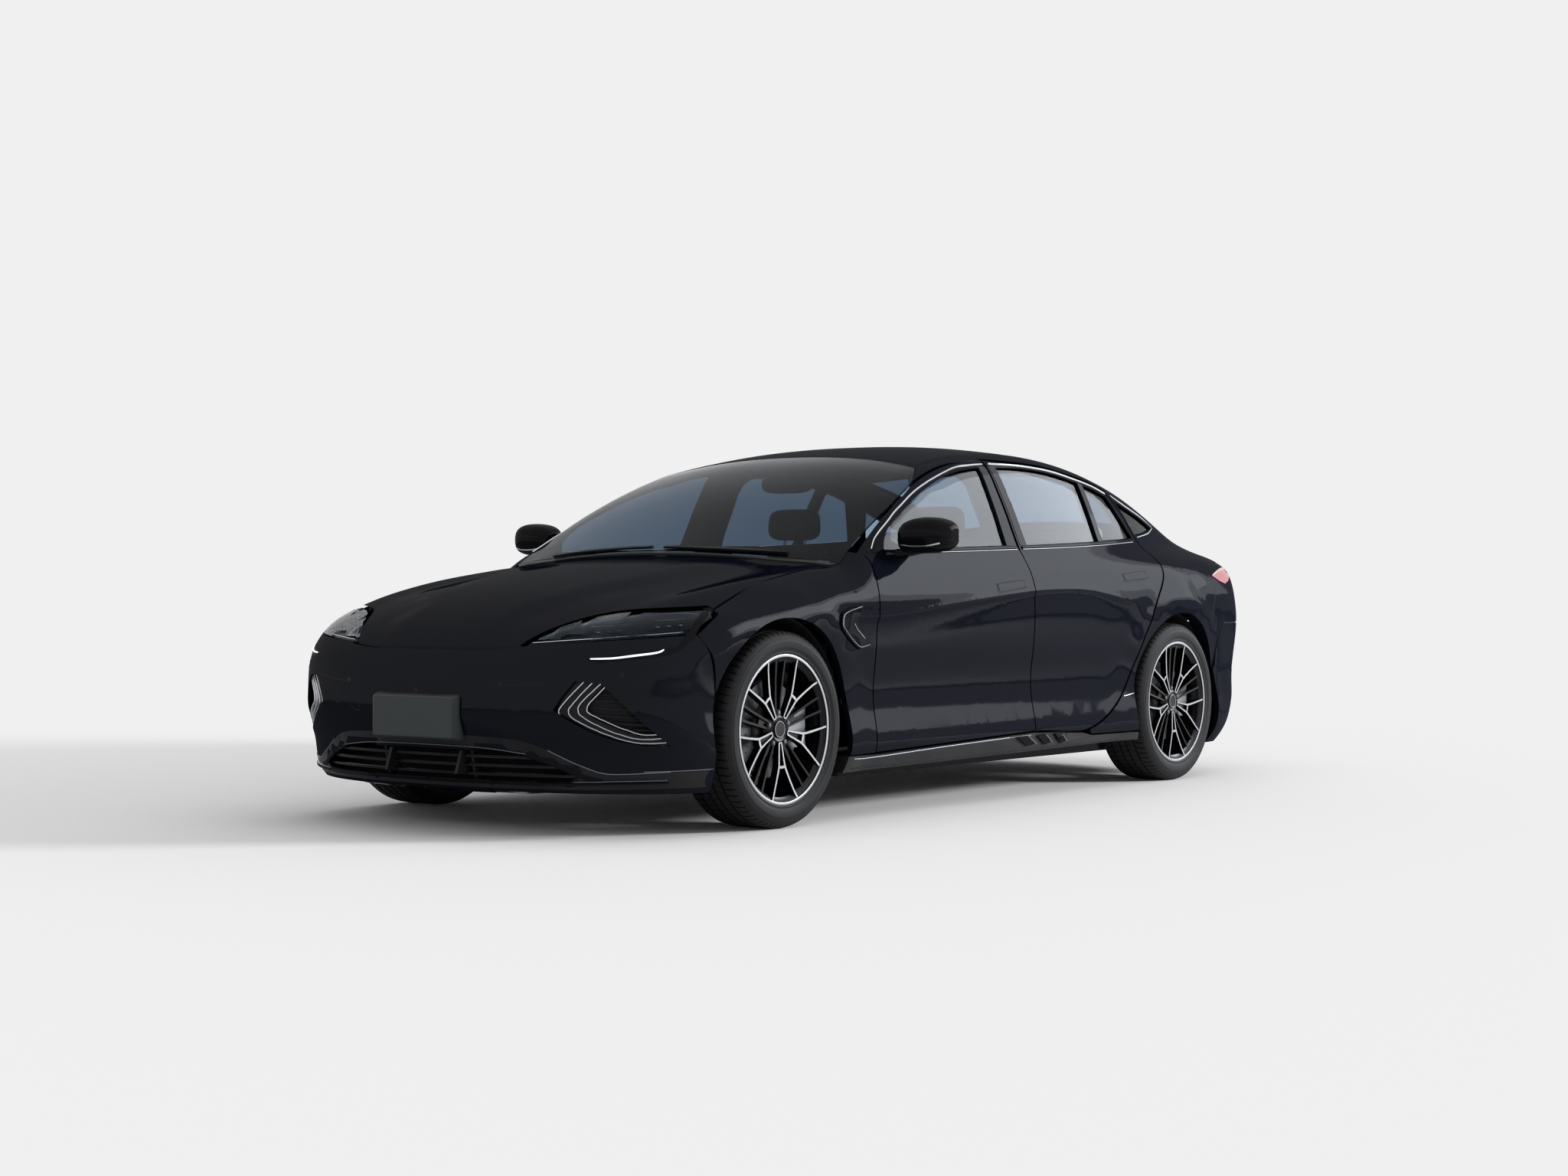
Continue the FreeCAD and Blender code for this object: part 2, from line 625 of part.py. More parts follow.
screen_hole = prism("ScreenHole", grow(SCREEN, 3), "top", 840, 1500)
roof_hole = prism("RoofHole", grow(ROOF, 3), "top", 840, 1500)
rear_screen_hole = prism("RearScreenHole", grow(REAR_SCREEN, 3), "top", 840, 1500)


RAIL_CORE = closed([(0, -1050), (806, -1050)], [(806, -1008)], [(755, -649)], [(706, -400)],
                   [(644, -258)], [(628, 0)], [(626, 300)], [(614, 930)], [(598, 1180)],
                   [(592, 1500)], [(0, 1500)])
rail_core = prism("RailCore", RAIL_CORE, "top", 700, 1500)
rail_side = prism("RailSide", grow(RAIL_CORE, 7), "top", 700, 1500)
screen_side = prism("ScreenSide", grow(SCREEN, 8), "top", 840, 1500)


def door(name, block, core, windows):
    whole = fuse(name + "Whole", common(name + "Skin", door_skin_slab, block),
                 common(name + "Box", door_box_slab, core))
    return cut(name, whole, rail_side, screen_side, *windows)


both("door_front", door("FrontDoor", front_door_block, front_door_core, [front_window]))
both("door_rear", door("RearDoor", rear_door_block, rear_door_core, [rear_window_hole, vent_window]))
both("glass_front", common("FrontDoorGlass", side_glass_slab, front_pane))
both("glass_rear", fuse("RearDoorGlass", common("RearGlassPane", side_glass_slab, rear_pane),
                        common("VentGlassPane", side_glass_slab, vent_pane)))


SIDE_BODY = closed([(-910, 300), (-910, 968)], [(-996, 1018)], [(-996, 1500)], [(2037, 1500)],
                   [(2037, 694)], [(1880, 694)], [(1812, 560)], [(1800, 347)], [(1400, 347)],
                   [(1010, 238)], [(640, 238)], [(600, 300)])
B_GAP = closed([(140, 250), (215, 250)], [(215, 1360)], [(140, 1360)])
B_POST = closed([(88, 250), (258, 250)], [(262, 1000)], [(250, 1410)], [(96, 1410)], [(88, 1000)])
HINGE_POST = closed([(-1016, 250), (-962, 250)], [(-962, 760)], [(-900, 1010)], [(-985, 1040)],
                    [(-1016, 960)])
ROOF_FRAME = closed([(-616, -251), (0, -216), (616, -251)], [(594, 300), (578, 930)],
                    [(548, 1500), (558, 1885)], [(-558, 1885)], [(-548, 1500), (-578, 930)],
                    [(-594, 300), (-616, -251)])
COWL = closed([(-768, -1038), (-606, -1079), (-324, -1120), (0, -1133), (324, -1120),
               (606, -1079), (768, -1038)], [(790, -1016)],
              [(610, -1064), (324, -1110), (0, -1123), (-324, -1110), (-610, -1064), (-790, -1016)],
              [(-768, -1038)])
COWL_HOLE = closed([(-780, -1160), (780, -1160)], [(800, -1000)], [(-800, -1000)])
SKIRT = closed([(-1150, 174), (-1142, 234)], [(-950, 230)], [(186, 263)], [(560, 247), (650, 231)],
               [(1030, 229)], [(1045, 196)], [(630, 194), (330, 190), (-500, 180), (-1150, 174)])
TAIL_LOW = closed([(1600, 150), (1600, 347)], [(1795, 500)], [(1818, 562)], [(1886, 688)],
                  [(2500, 688)], [(2500, 150)])
TAIL_HIGH = closed([(2041, 694), (2041, 1300)], [(2500, 1300)], [(2500, 694)])
TAIL_BAR = closed([(-546, 922), (-546, 970)], [(546, 970)], [(546, 922)])
TAIL_CORNER = closed([(572, 922), (572, 970)], [(960, 962)], [(960, 934)])

bonnet_block = prism("BonnetBlock", BONNET, "top", 500, 1200)
bonnet_hole = prism("BonnetHole", grow(BONNET, 9), "top", 500, 1200)
lamp_block = prism("LampBlock", grow(LAMP, -2), "front", -2450, -1822)
lamp_hole = prism("LampHole", grow(LAMP, 2), "front", -2450, -1818)
lamp_hole_right = mirror("LampHoleRight", lamp_hole)
lamp_swing = prism("LampSwing", grow(LAMP, 8), "front", -2450, -1812)
lamp_swing_right = mirror("LampSwingRight", lamp_swing)
lid_block = prism("LidBlock", LID_BACK, "front", 1893, 2500)
lid_hole = prism("LidHole", grow(LID_BACK, 7), "front", 1885, 2500)
cowl_hole = prism("CowlHole", COWL_HOLE, "top", 840, 1200)
front_arch_right = mirror("FrontArchRight", front_arch)
rear_arch_right = mirror("RearArchRight", rear_arch)
vent_hole = prism("VentHole", VENT, "front", -2450, -1900)
vent_hole_right = mirror("VentHoleRight", vent_hole)

# Wings, side frames with their pillars and sills, skirts.
fender_block = prism("FenderBlock", FENDER, "side", 300, 1100)
both("fender", cut("Fender", common("FenderWhole", door_skin_slab, fender_block),
                   bonnet_hole, lamp_hole, front_arch, cowl_hole, screen_hole, front_door_hole))
rebate_ring = cut("RebateRing", rebate_slab, rail_core)
side_panel = cut("SidePanel", common("SidePanelWhole", frame_slab,
                                     prism("SideBlock", SIDE_BODY, "side", 300, 1100)),
                 common("FrontRebate", rebate_ring, front_door_hole),
                 common("RearRebate", rebate_ring, rear_door_hole),
                 common("PillarRebate", rebate_ring, prism("PillarGap", B_GAP, "side", 300, 1100)),
                 prism("FrontOpening", grow(FRONT_DOOR, -24), "side", 300, 1100),
                 prism("RearOpening", grow(REAR_DOOR, -24), "side", 300, 1100),
                 quarter_window, rear_arch, screen_hole,
                 prism("TailLowGap", grow(TAIL_LOW, 1.5), "side", 300, 1100),
                 prism("RoofFrameHole", grow(ROOF_FRAME, 3), "top", 840, 1500), lid_hole)
posts = cut("Posts", common("PostsWhole", pillar_slab,
                            fuse("PostBlocks", prism("MiddlePost", B_POST, "side", 300, 1100),
                                 prism("HingePost", HINGE_POST, "side", 300, 1100))),
            box("PostInside", 200, 696, -1100, -800, 600, 1100))
sill = box("Sill", "Sizes.sill_inner", "Sizes.sill_outer", -1016, 1004, 150, 318)
both("side_frame", whole("SideFrame", fuse("SideFrameParts", side_panel, posts, sill)))
pair("skirts", cut("Skirt", common("SkirtWhole", frame_slab, prism("SkirtBlock", SKIRT, "side", 300, 1100)),
                   front_door_hole, rear_door_hole))
pair("quarter_glass", common("QuarterGlass", side_glass_slab, quarter_pane))

# Bonnet, nose and its inserts.
node("bonnet", cut("Bonnet", common("BonnetPanel", bonnet_slab, bonnet_block), lamp_swing, lamp_swing_right))
pair("headlamps", common("Headlamp", lamp_slab, lamp_block))
front_whole = common("NoseWhole", nose_slab, prism("NoseBlock", NOSE_END, "side", -1100, 1100))
node("front_bumper", whole("FrontBumper", cut(
    "FrontBumperCut", front_whole, bonnet_hole, lamp_hole, lamp_hole_right, front_arch,
    front_arch_right, vent_hole, vent_hole_right,
    prism("GrilleHole", GRILLE, "front", -2450, -2000))))
vent_back = cut("VentBack", common("VentBackWhole", recess_slab,
                                   prism("VentBackBlock", grow(VENT, 12), "front", -2450, -1900)),
                cylinder("VentClear", "Sizes.arch_radius + 12", 420, 673, "-Sizes.front_axle",
                         "Sizes.tyre_radius"))
pair("air_curtains", vent_back)
grille_front = prism("GrilleFront", grow(GRILLE, -1.5), "front", -2450, -2000)
bars = []
for index, z in enumerate((204, 234, 264)):
    bars.append(common("Slat%d" % index, common("SlatBlank%d" % index, grille_slab, grille_front),
                       box("SlatBand%d" % index, -700, 700, -2450, -2000, z, z + 9)))
for index, x in enumerate((-210, 202)):
    bars.append(common("Fin%d" % index, common("FinBlank%d" % index, grille_slab, grille_front),
                       box("FinBand%d" % index, x, x + 8, -2450, -2000, 170, 320)))
node("lower_grille", fuse("LowerGrille", *bars))
node("cowl", common("Cowl", top_frame_slab, prism("CowlBlock", COWL, "top", 840, 1200)))

# Glass and roof.
node("windscreen", common("Windscreen", top_glass_slab, prism("ScreenBlock", SCREEN, "top", 840, 1500)))
node("roof_glass", common("RoofGlass", top_glass_slab, prism("RoofBlock", ROOF, "top", 840, 1500)))
node("rear_window", common("RearScreen", top_glass_slab,
                           prism("RearScreenBlock", REAR_SCREEN, "top", 840, 1500)))
node("roof_frame", cut("RoofFrame", common("RoofFrameWhole", top_frame_slab,
                                           prism("RoofFrameBlock", ROOF_FRAME, "top", 840, 1500)),
                       roof_hole, rear_screen_hole, screen_hole))

# Tail.
bar_hole = prism("TailBarHole", grow(TAIL_BAR, 2), "front", 1900, 2500)
corner_hole = prism("TailCornerHole", grow(TAIL_CORNER, 2), "front", 2050, 2500)
corner_hole_right = mirror("TailCornerHoleRight", corner_hole)
node("boot_lid", cut("BootLid", common("BootLidWhole", tail_slab, lid_block), bar_hole))
node("tail_lamp_bar", common("TailLampBar", tail_lamp_slab,
                             prism("TailBarBlock", TAIL_BAR, "front", 1900, 2500)))
pair("tail_lamps", common("TailLamp", tail_lamp_slab,
                          prism("TailCornerBlock", TAIL_CORNER, "front", 2054, 2500)))
tail_low_block = prism("TailLowBlock", TAIL_LOW, "side", -1100, 1100)
node("rear_bumper", cut("RearBumper", common("TailLowWhole", tail_slab, tail_low_block),
                        rear_arch, rear_arch_right, lid_hole))
tail_high_block = prism("TailHighBlock", TAIL_HIGH, "side", -1100, 1100)
node("tail_panel", cut("TailPanel", common("TailHighWhole", tail_slab, tail_high_block),
                       lid_hole, corner_hole, corner_hole_right))

# Floor structure: floor, firewall, rails, beams, wheel housings and boot.
def housing(name, y):
    outer = cylinder(name + "Outer", "Sizes.arch_radius + 10", 390, 673, y, "Sizes.tyre_radius")
    inner = cylinder(name + "Inner", "Sizes.arch_radius + 2", 390, 685, y, "Sizes.tyre_radius")
    shell = cut(name + "Shell", outer, inner)
    return common(name, shell, box(name + "Upper", 400, 900, -2400, 2400, 262, 900))


front_housing = housing("FrontHousing", "-Sizes.front_axle")
rear_housing = cut("RearHousingTrim", housing("RearHousing", "Sizes.rear_axle"), frame_slab)
floor_parts = [
    box("Floor", -636, 636, -1000, 1000, 250, 276),
    box("Firewall", -684, 684, -1010, -985, 322, 900),
    box("FirewallFoot", -636, 636, -1010, -985, 250, 324),
    box("Tunnel", -90, 90, -990, 700, 270, 330),
    box("RailLeft", 400, 470, -2200, -1000, 300, 420),
    box("RailRight", -470, -400, -2200, -1000, 300, 420),
    box("FrontBeam", -525, 525, -2260, -2195, 370, 460),
    box("Radiator", -400, 400, -2200, -2150, 200, 600),
    box("FrontTray", -470, 470, -2140, -1005, 640, 655),
    box("Heel", -636, 636, 975, 1000, 250, 420),
    box("BootFloor", -485, 485, 990, 2240, 400, 424),
    box("SeatWall", -560, 560, 1130, 1150, 400, 960),
    box("Shelf", -560, 560, 1130, 1830, 950, 966),
    box("RearPanel", -490, 490, 2215, 2240, 300, 640),
    box("RearRailLeft", 400, 485, 990, 2240, 300, 410),
    box("RearRailRight", -485, -400, 990, 2240, 300, 410),
    front_housing, rear_housing, mirror("FrontHousingRight", front_housing),
    mirror("RearHousingRight", rear_housing),
    box("FrontBulkheadLeft", 455, 490, -2140, -1005, 400, 655),
    box("FrontBulkheadRight", -490, -455, -2140, -1005, 400, 655),
]
node("platform", fuse("Platform", *floor_parts))
node("battery_pack", box("BatteryPack", "-Sizes.pack_half", "Sizes.pack_half", "-Sizes.pack_length / 2",
                         "Sizes.pack_length / 2", "Sizes.pack_low", "Sizes.pack_high"))
node("drive_units", fuse("DriveUnits", box("RearDrive", -210, 210, 1260, 1560, 194, 392),
                         box("FrontDrive", -200, 200, -1680, -1400, 200, 560)))

# Cabin: dashboard with its screen and column shroud, two front seats, rear bench.
def loft(name, wires, ruled=True):
    made = doc.addObject("Part::Loft", name)
    made.Sections = wires
    made.Solid = True
    made.Ruled = ruled
    return made


def pillow(name, outline, low, high, soft):
    """Upholstered block: its side section, pulled in towards both ends."""
    wires = []
    for x, by in ((low, -soft), (low + 0.4 * soft, -0.35 * soft), (low + soft, 0),
                  (high - soft, 0), (high - 0.4 * soft, -0.35 * soft), (high, -soft)):
        wire = doc.addObject("Part::Feature", "%sRib%d" % (name, len(wires)))
        wire.Shape = trace(grow(outline, by) if by else outline, "side")
        wire.Placement.Base = Vector(SX * x, 0, 0)
        wires.append(wire)
    return loft(name, wires)


STEER_TILT = -66
STEER_SPOT = Vector(370 * SX, -500 * SY, 800 * SZ)
shroud = doc.addObject("Part::Cone", "ColumnShroud")
shroud.Radius1, shroud.Radius2, shroud.Height = 58, 40, 250
shroud.Placement = FreeCAD.Placement(STEER_SPOT, FreeCAD.Rotation(Vector(1, 0, 0), STEER_TILT)).multiply(
    FreeCAD.Placement(Vector(0, 0, -278), FreeCAD.Rotation()))
dash_line = closed([(-985, 640), (-985, 880)], [(-900, 916), (-800, 916), (-738, 884)],
                   [(-716, 850), (-722, 810)], [(-756, 752)], [(-788, 664), (-850, 630)])
screen_line = closed([(-712, 828), (-716, 1004)], [(-702, 1006)], [(-698, 830)])
node("dashboard", fuse("Dashboard", pillow("DashBody", dash_line, -672, 672, 12),
                       pillow("DashScreen", screen_line, -196, 196, 3),
                       box("DashStem", -60, 60, -730, -706, 780, 860),
                       pillow("DriverScreen", closed([(-742, 868), (-756, 972)], [(-744, 974)], [(-728, 870)]),
                              262, 478, 3), shroud))

cushion_line = closed([(-330, 352), (-350, 408), (-326, 458)], [(-150, 462), (30, 446), (190, 452)],
                      [(215, 400), (200, 350)])
thigh_line = closed([(-322, 348), (-346, 420), (-300, 484)], [(-140, 496), (20, 486), (160, 500)],
                    [(215, 440), (196, 346)])
back_line = closed([(158, 440), (170, 640), (226, 850), (272, 1010)], [(304, 1034), (340, 1004)],
                   [(334, 860), (290, 640), (262, 440)])
wing_line = closed([(140, 470), (130, 600), (186, 820), (262, 980)], [(300, 1000), (330, 960)],
                   [(322, 800), (280, 600), (250, 450)])
head_line = closed([(270, 1052), (252, 1110), (272, 1178)], [(300, 1192), (334, 1170)],
                   [(344, 1110), (326, 1050)])


def seat(name, x):
    posts = [cylinder("%sPost%d" % (name, k), 6, 80, x + k * 55, 304, 1040, "z") for k in (-1, 1)]
    return fuse(name, box(name + "Base", x - 220, x + 220, -300, 150, 277, 360),
                pillow(name + "Cushion", cushion_line, x - 190, x + 190, 24),
                pillow(name + "ThighIn", thigh_line, x - 258, x - 172, 22),
                pillow(name + "ThighOut", thigh_line, x + 172, x + 258, 22),
                pillow(name + "Back", back_line, x - 186, x + 186, 24),
                pillow(name + "WingIn", wing_line, x - 252, x - 166, 22),
                pillow(name + "WingOut", wing_line, x + 166, x + 252, 22),
                pillow(name + "Head", head_line, x - 136, x + 136, 26), *posts)


pair("front_seats", seat("FrontSeat", 370))
bench_line = closed([(612, 432), (592, 500), (622, 548)], [(780, 556), (900, 536), (1010, 528)],
                    [(1020, 480), (1010, 430)])
bench_back_line = closed([(975, 524), (985, 700), (1040, 950)], [(1076, 972), (1112, 944)],
                         [(1110, 740), (1090, 520)])
bench_head_line = closed([(1050, 962), (1040, 1030), (1062, 1088)], [(1086, 1096), (1112, 1080)],
                         [(1118, 1020), (1106, 958)])
bench_clear = cylinder("BenchClear", "Sizes.arch_radius + 16", 400, 673, "Sizes.rear_axle",
                       "Sizes.tyre_radius")
node("rear_seat", cut("RearSeat", fuse("RearSeatPads", pillow("BenchLeft", bench_line, 150, 604, 26),
                       pillow("BenchMiddle", bench_line, -166, 166, 20),
                       pillow("BenchRight", bench_line, -604, -150, 26),
                       pillow("BenchBackLeft", bench_back_line, 150, 590, 26),
                       pillow("BenchBackMiddle", bench_back_line, -166, 166, 20),
                       pillow("BenchBackRight", bench_back_line, -590, -150, 26),
                       pillow("BenchHeadLeft", bench_head_line, 240, 500, 24),
                       pillow("BenchHeadRight", bench_head_line, -500, -240, 24)),
                      bench_clear, mirror("BenchClearRight", bench_clear)))
doc.recompute()


def turned(name, outline):
    """A wheel part: its section (distance from the axle, offset outboard), revolved."""
    wire = doc.addObject("Part::Feature", name + "Section")
    wire.Shape = Part.Wire([Part.makeLine(Vector(a[1], 0, a[0]), Vector(b[1], 0, b[0]))
                            for a, b in zip(outline, outline[1:] + outline[:1])])
    made = doc.addObject("Part::Revolution", name)
    made.Source = wire
    made.Axis = Vector(1, 0, 0)
    made.Angle = 360
    made.Solid = True
    return made


def ring_of(section, sides):
    """A closed ring of flat facets with the section at every step round the axle."""
    def spot(pair, step):
        angle = 2 * math.pi * step / sides
        return Vector(pair[1], pair[0] * math.sin(angle), pair[0] * math.cos(angle))
    faces = []
    for step in range(sides):
        for a, b in zip(section, section[1:] + section[:1]):
            corners = [spot(a, step), spot(b, step), spot(b, step + 1), spot(a, step + 1)]
            faces.append(Part.Face(Part.makePolygon(corners + corners[:1])))
    shell = Part.makeShell(faces)
    shell.sewShape()
    solid = Part.makeSolid(Part.Shell(shell.Faces))
    if solid.Volume < 0:
        solid.reverse()
    return solid


RIM = size("rim_radius")
HALF = size("tyre_width") / 2
RIM_HALF = size("rim_width") / 2
tyre_section = [(WHEEL, -HALF + 34), (WHEEL, HALF - 34), (WHEEL - 13, HALF - 12), (WHEEL - 52, HALF),
                (RIM + 18, HALF - 12), (RIM + 2, HALF - 22), (RIM + 2, -HALF + 22),
                (RIM + 18, -HALF + 12), (WHEEL - 52, -HALF), (WHEEL - 13, -HALF + 12)]
LIP = size("rim_lip")
barrel_section = [(RIM + 1, -RIM_HALF + 10), (RIM + 1, -RIM_HALF + 26), (RIM - 16, -RIM_HALF + 44),
                  (RIM - 16, RIM_HALF - 40), (RIM + 1, RIM_HALF - 26), (RIM + 1, RIM_HALF - 8),
                  (LIP - 14, RIM_HALF - 6), (LIP - 14, RIM_HALF + 2), (RIM - 6, RIM_HALF + 3),
                  (RIM - 12, RIM_HALF - 8), (RIM - 24, RIM_HALF - 34), (RIM - 24, -RIM_HALF + 40),
                  (RIM - 8, -RIM_HALF + 20), (RIM - 6, -RIM_HALF + 4), (LIP - 14, -RIM_HALF + 2),
                  (LIP - 14, -RIM_HALF + 5)]
tyre = feature("TyreShape", ring_of(tyre_section, 60))
barrel = turned("RimBarrel", barrel_section)
hub = turned("RimHub", [(0, 52), (72, 52), (78, 66), (60, 84), (34, 90), (0, 90)])
spokes = []
for k in range(5):
    arm = doc.addObject("Part::Feature", "Spoke%d" % k)
    outline = [(-16, 50), (16, 50), (24, 130), (74, 226), (52, 236), (0, 150), (-52, 236), (-74, 226),
               (-24, 130)]
    face = Part.Face(Part.makePolygon([Vector(60, a, -b) for a, b in outline + outline[:1]]))
    shape = face.extrude(Vector(30, 0, 0))
    shape.rotate(Vector(0, 0, 0), Vector(1, 0, 0), 72 * k)
    arm.Shape = shape
    spokes.append(arm)
    for lean in (-8, 8):
        bar = doc.addObject("Part::Feature", "Bar%d_%d" % (k, lean + 8))
        outline = [(-6, 58), (6, 58), (5, 240), (-5, 240)]
        face = Part.Face(Part.makePolygon([Vector(56, a, -b) for a, b in outline + outline[:1]]))
        shape = face.extrude(Vector(16, 0, 0))
        shape.rotate(Vector(0, 0, 0), Vector(1, 0, 0), 72 * k + 36 + lean)
        bar.Shape = shape
        spokes.append(bar)
rim = fuse("RimShape", barrel, hub, *spokes)
doc.recompute()


def placed(name, source, x, y, z, flip=False):
    """A copy of a wheel part at its corner of the car; flipped on the right."""
    made = doc.addObject("Part::Feature", name)
    shape = source.Shape.copy()
    if flip:
        shape = shape.mirror(Vector(0, 0, 0), Vector(1, 0, 0))
    made.Shape = shape
    made.Placement = FreeCAD.Placement(Vector(x, y, z), FreeCAD.Rotation())
    return made


for end, y in (("front", -FRONT), ("rear", REAR)):
    for hand, sign in (("left", 1), ("right", -1)):
        tag = "%s_%s" % (end, hand)
        node("tyre_" + tag, placed("Tyre" + tag, tyre, sign * TRACK, y, WHEEL, sign < 0))
        turning = "%d * Sizes.half_track + %d"
        axle = "-Sizes.front_axle" if end == "front" else "Sizes.rear_axle"
        brake = cylinder("Disc" + tag, "Sizes.disc_radius", "Sizes.disc_thick",
                         turning % (sign, sign * 20), axle, "Sizes.tyre_radius")
        stub = cylinder("Stub" + tag, "Sizes.hub_radius", 21,
                        turning % (sign, sign * 42.5), axle, "Sizes.tyre_radius")
        alloy = placed("Alloy" + tag, rim, sign * TRACK, y, WHEEL, sign < 0)
        node("rim_" + tag, fuse("Rim" + tag, alloy, brake, stub))


def carrier(name, y):
    body = cylinder(name + "Bore", 62, 46, "Sizes.half_track - 22", y, "Sizes.tyre_radius")
    upright = box(name + "Upright", 770, 806, "(%s) - 45" % y, "(%s) + 45" % y, "Sizes.tyre_radius - 140",
                  "Sizes.tyre_radius + 150")
    low = box(name + "Low", 720, 790, "(%s) - 34" % y, "(%s) + 34" % y, "Sizes.tyre_radius - 150",
              "Sizes.tyre_radius - 118")
    block = cut(name + "Caliper", box(name + "CaliperBlock", 798, 860, "(%s) + 96" % y, "(%s) + 196" % y,
                                      "Sizes.tyre_radius - 70", "Sizes.tyre_radius + 70"),
                cylinder(name + "CaliperSlot", "Sizes.disc_radius + 8", "Sizes.disc_thick + 13",
                         "Sizes.half_track + 20", y, "Sizes.tyre_radius"))
    lug = box(name + "Lug", 772, 806, "(%s) + 30" % y, "(%s) + 150" % y, "Sizes.tyre_radius - 40",
              "Sizes.tyre_radius + 40")
    return fuse(name, body, upright, low, block, lug)


both("knuckle_front", carrier("FrontKnuckle", "-Sizes.front_axle"))
rear_knuckle = carrier("RearKnuckle", "Sizes.rear_axle")


def arms(name, y, reach):
    middle = -FRONT if y.startswith("-") else REAR
    low = WHEEL / SZ - 148
    line = closed([(330, middle - 96), (520, middle - 46), (reach, middle - 27)], [(reach, middle + 27)],
                  [(520, middle + 46), (330, middle + 96)])
    return [prism(name + "Lower", line, "top", low, low + 28),
            box(name + "Cross", -330, 334, "(%s) - 110" % y, "(%s) + 110" % y, "Sizes.tyre_radius - 194",
                "Sizes.tyre_radius - 158")]


front_arms = arms("FrontArm", "-Sizes.front_axle", 706)
rear_arms = arms("RearArm", "Sizes.rear_axle", 730)
node("front_suspension", fuse("FrontSuspension", front_arms[1], front_arms[0],
                              mirror("FrontArmRight", front_arms[0]),
                              box("FrontArmBlock", 300, 360, -1560, -1460, 160, 232),
                              box("FrontArmBlockRight", -360, -300, -1560, -1460, 160, 232)))
node("rear_suspension", fuse("RearSuspension", rear_arms[1], rear_arms[0], mirror("RearArmRight", rear_arms[0]),
                             rear_knuckle, mirror("RearKnuckleRight", rear_knuckle),
                             box("RearArmBlock", 300, 360, 1360, 1460, 160, 232),
                             box("RearArmBlockRight", -360, -300, 1360, 1460, 160, 232)))

# Steering wheel and its column.
GRIP = size("wheel_grip")
grip_section = [(size("wheel_rim") + GRIP * math.cos(math.radians(turn)), GRIP * math.sin(math.radians(turn)))
                for turn in range(0, 360, 36)]
ring_wire = doc.addObject("Part::Feature", "SteeringSection")
ring_wire.Shape = Part.makePolygon([Vector(r, 0, h) for r, h in grip_section + grip_section[:1]])
wheel_ring = doc.addObject("Part::Revolution", "SteeringRing")
wheel_ring.Source = ring_wire
wheel_ring.Axis = Vector(0, 0, 1)
wheel_ring.Angle = 360
wheel_ring.Solid = True
wheel_hub = doc.addObject("Part::Cylinder", "SteeringHub")
wheel_hub.Radius = 62
wheel_hub.Height = 40
wheel_hub.Placement.Base = Vector(0, 0, -20)
wheel_bars = []
for k, (x, y, l, w) in enumerate(((-178, -16, 356, 32), (-14, -178, 28, 178))):
    bar = doc.addObject("Part::Box", "SteeringBar%d" % k)
    bar.Length, bar.Width, bar.Height = l, w, 14
    bar.Placement.Base = Vector(x, y, -7)
    wheel_bars.append(bar)
steering = fuse("SteeringWheel", wheel_ring, wheel_hub, *wheel_bars)
steering.Placement = FreeCAD.Placement(STEER_SPOT, FreeCAD.Rotation(Vector(1, 0, 0), STEER_TILT))
node("steering_wheel", steering)

# Door mirrors: a lofted housing on a tapered arm that stands on the door skin.
def mirror_rib(index, x, y, z, deep, tall):
    """A rounded four-sided section of the housing."""
    spots = []
    for step in range(16):
        turn = 2 * math.pi * (step + 0.5) / 16
        across, up = math.cos(turn), math.sin(turn)
        spots.append(Vector(SX * x, SY * (y + deep * math.copysign(abs(across) ** 0.7, across)),
                            SZ * (z + tall * math.copysign(abs(up) ** 0.7, up))))
    bend = Part.BSplineCurve()
    bend.interpolate(spots, PeriodicFlag=True)
    wire = doc.addObject("Part::Feature", "MirrorRib%d" % index)
    wire.Shape = Part.Wire([bend.toShape()])
    return wire


ribs = [mirror_rib(k, *values) for k, values in enumerate((
    (872, -700, 1030, 34, 32), (884, -698, 1032, 60, 50), (912, -695, 1036, 78, 62),
    (970, -690, 1041, 84, 67), (1030, -684, 1042, 78, 62), (1068, -676, 1041, 58, 47),
    (1086, -670, 1040, 30, 25)))]
mirror_cap = loft("MirrorCap", ribs, False)
mirror_back = box("MirrorBack", 800, 1100, -652, -540, 900, 1150)
arm_ribs = []
for x, y0, y1, z0, z1 in ((835, -752, -650, 958, 982), (900, -726, -662, 968, 996),
                          (950, -716, -664, 976, 1004)):
    wire = doc.addObject("Part::Feature", "ArmRib%d" % len(arm_ribs))
    wire.Shape = Part.makePolygon([Vector(SX * x, SY * a, SZ * b) for a, b in
                                   ((y0, z0), (y1, z0), (y1, z1), (y0, z1), (y0, z0))])
    arm_ribs.append(wire)
mirror_arm = whole("MirrorArm", cut("MirrorArmCut", loft("MirrorArmLoft", arm_ribs), door_skin_slab))
both("mirror", fuse("Mirror", cut("MirrorHead", mirror_cap, mirror_back), mirror_arm))

# Plain carrier for the front plate, standing on the bumper.
plate_ribs = []
for y, half, low, high in ((-2421, 190, 328, 472), (-2380, 204, 318, 482)):
    wire = doc.addObject("Part::Feature", "PlateRib%d" % len(plate_ribs))
    wire.Shape = Part.makePolygon([Vector(SX * a, SY * y, SZ * b) for a, b in
                                   ((-half, low), (half, low), (half, high), (-half, high), (-half, low))])
    plate_ribs.append(wire)
node("front_plate", whole("FrontPlate", cut("FrontPlateCut", loft("FrontPlateLoft", plate_ribs), nose_slab)))

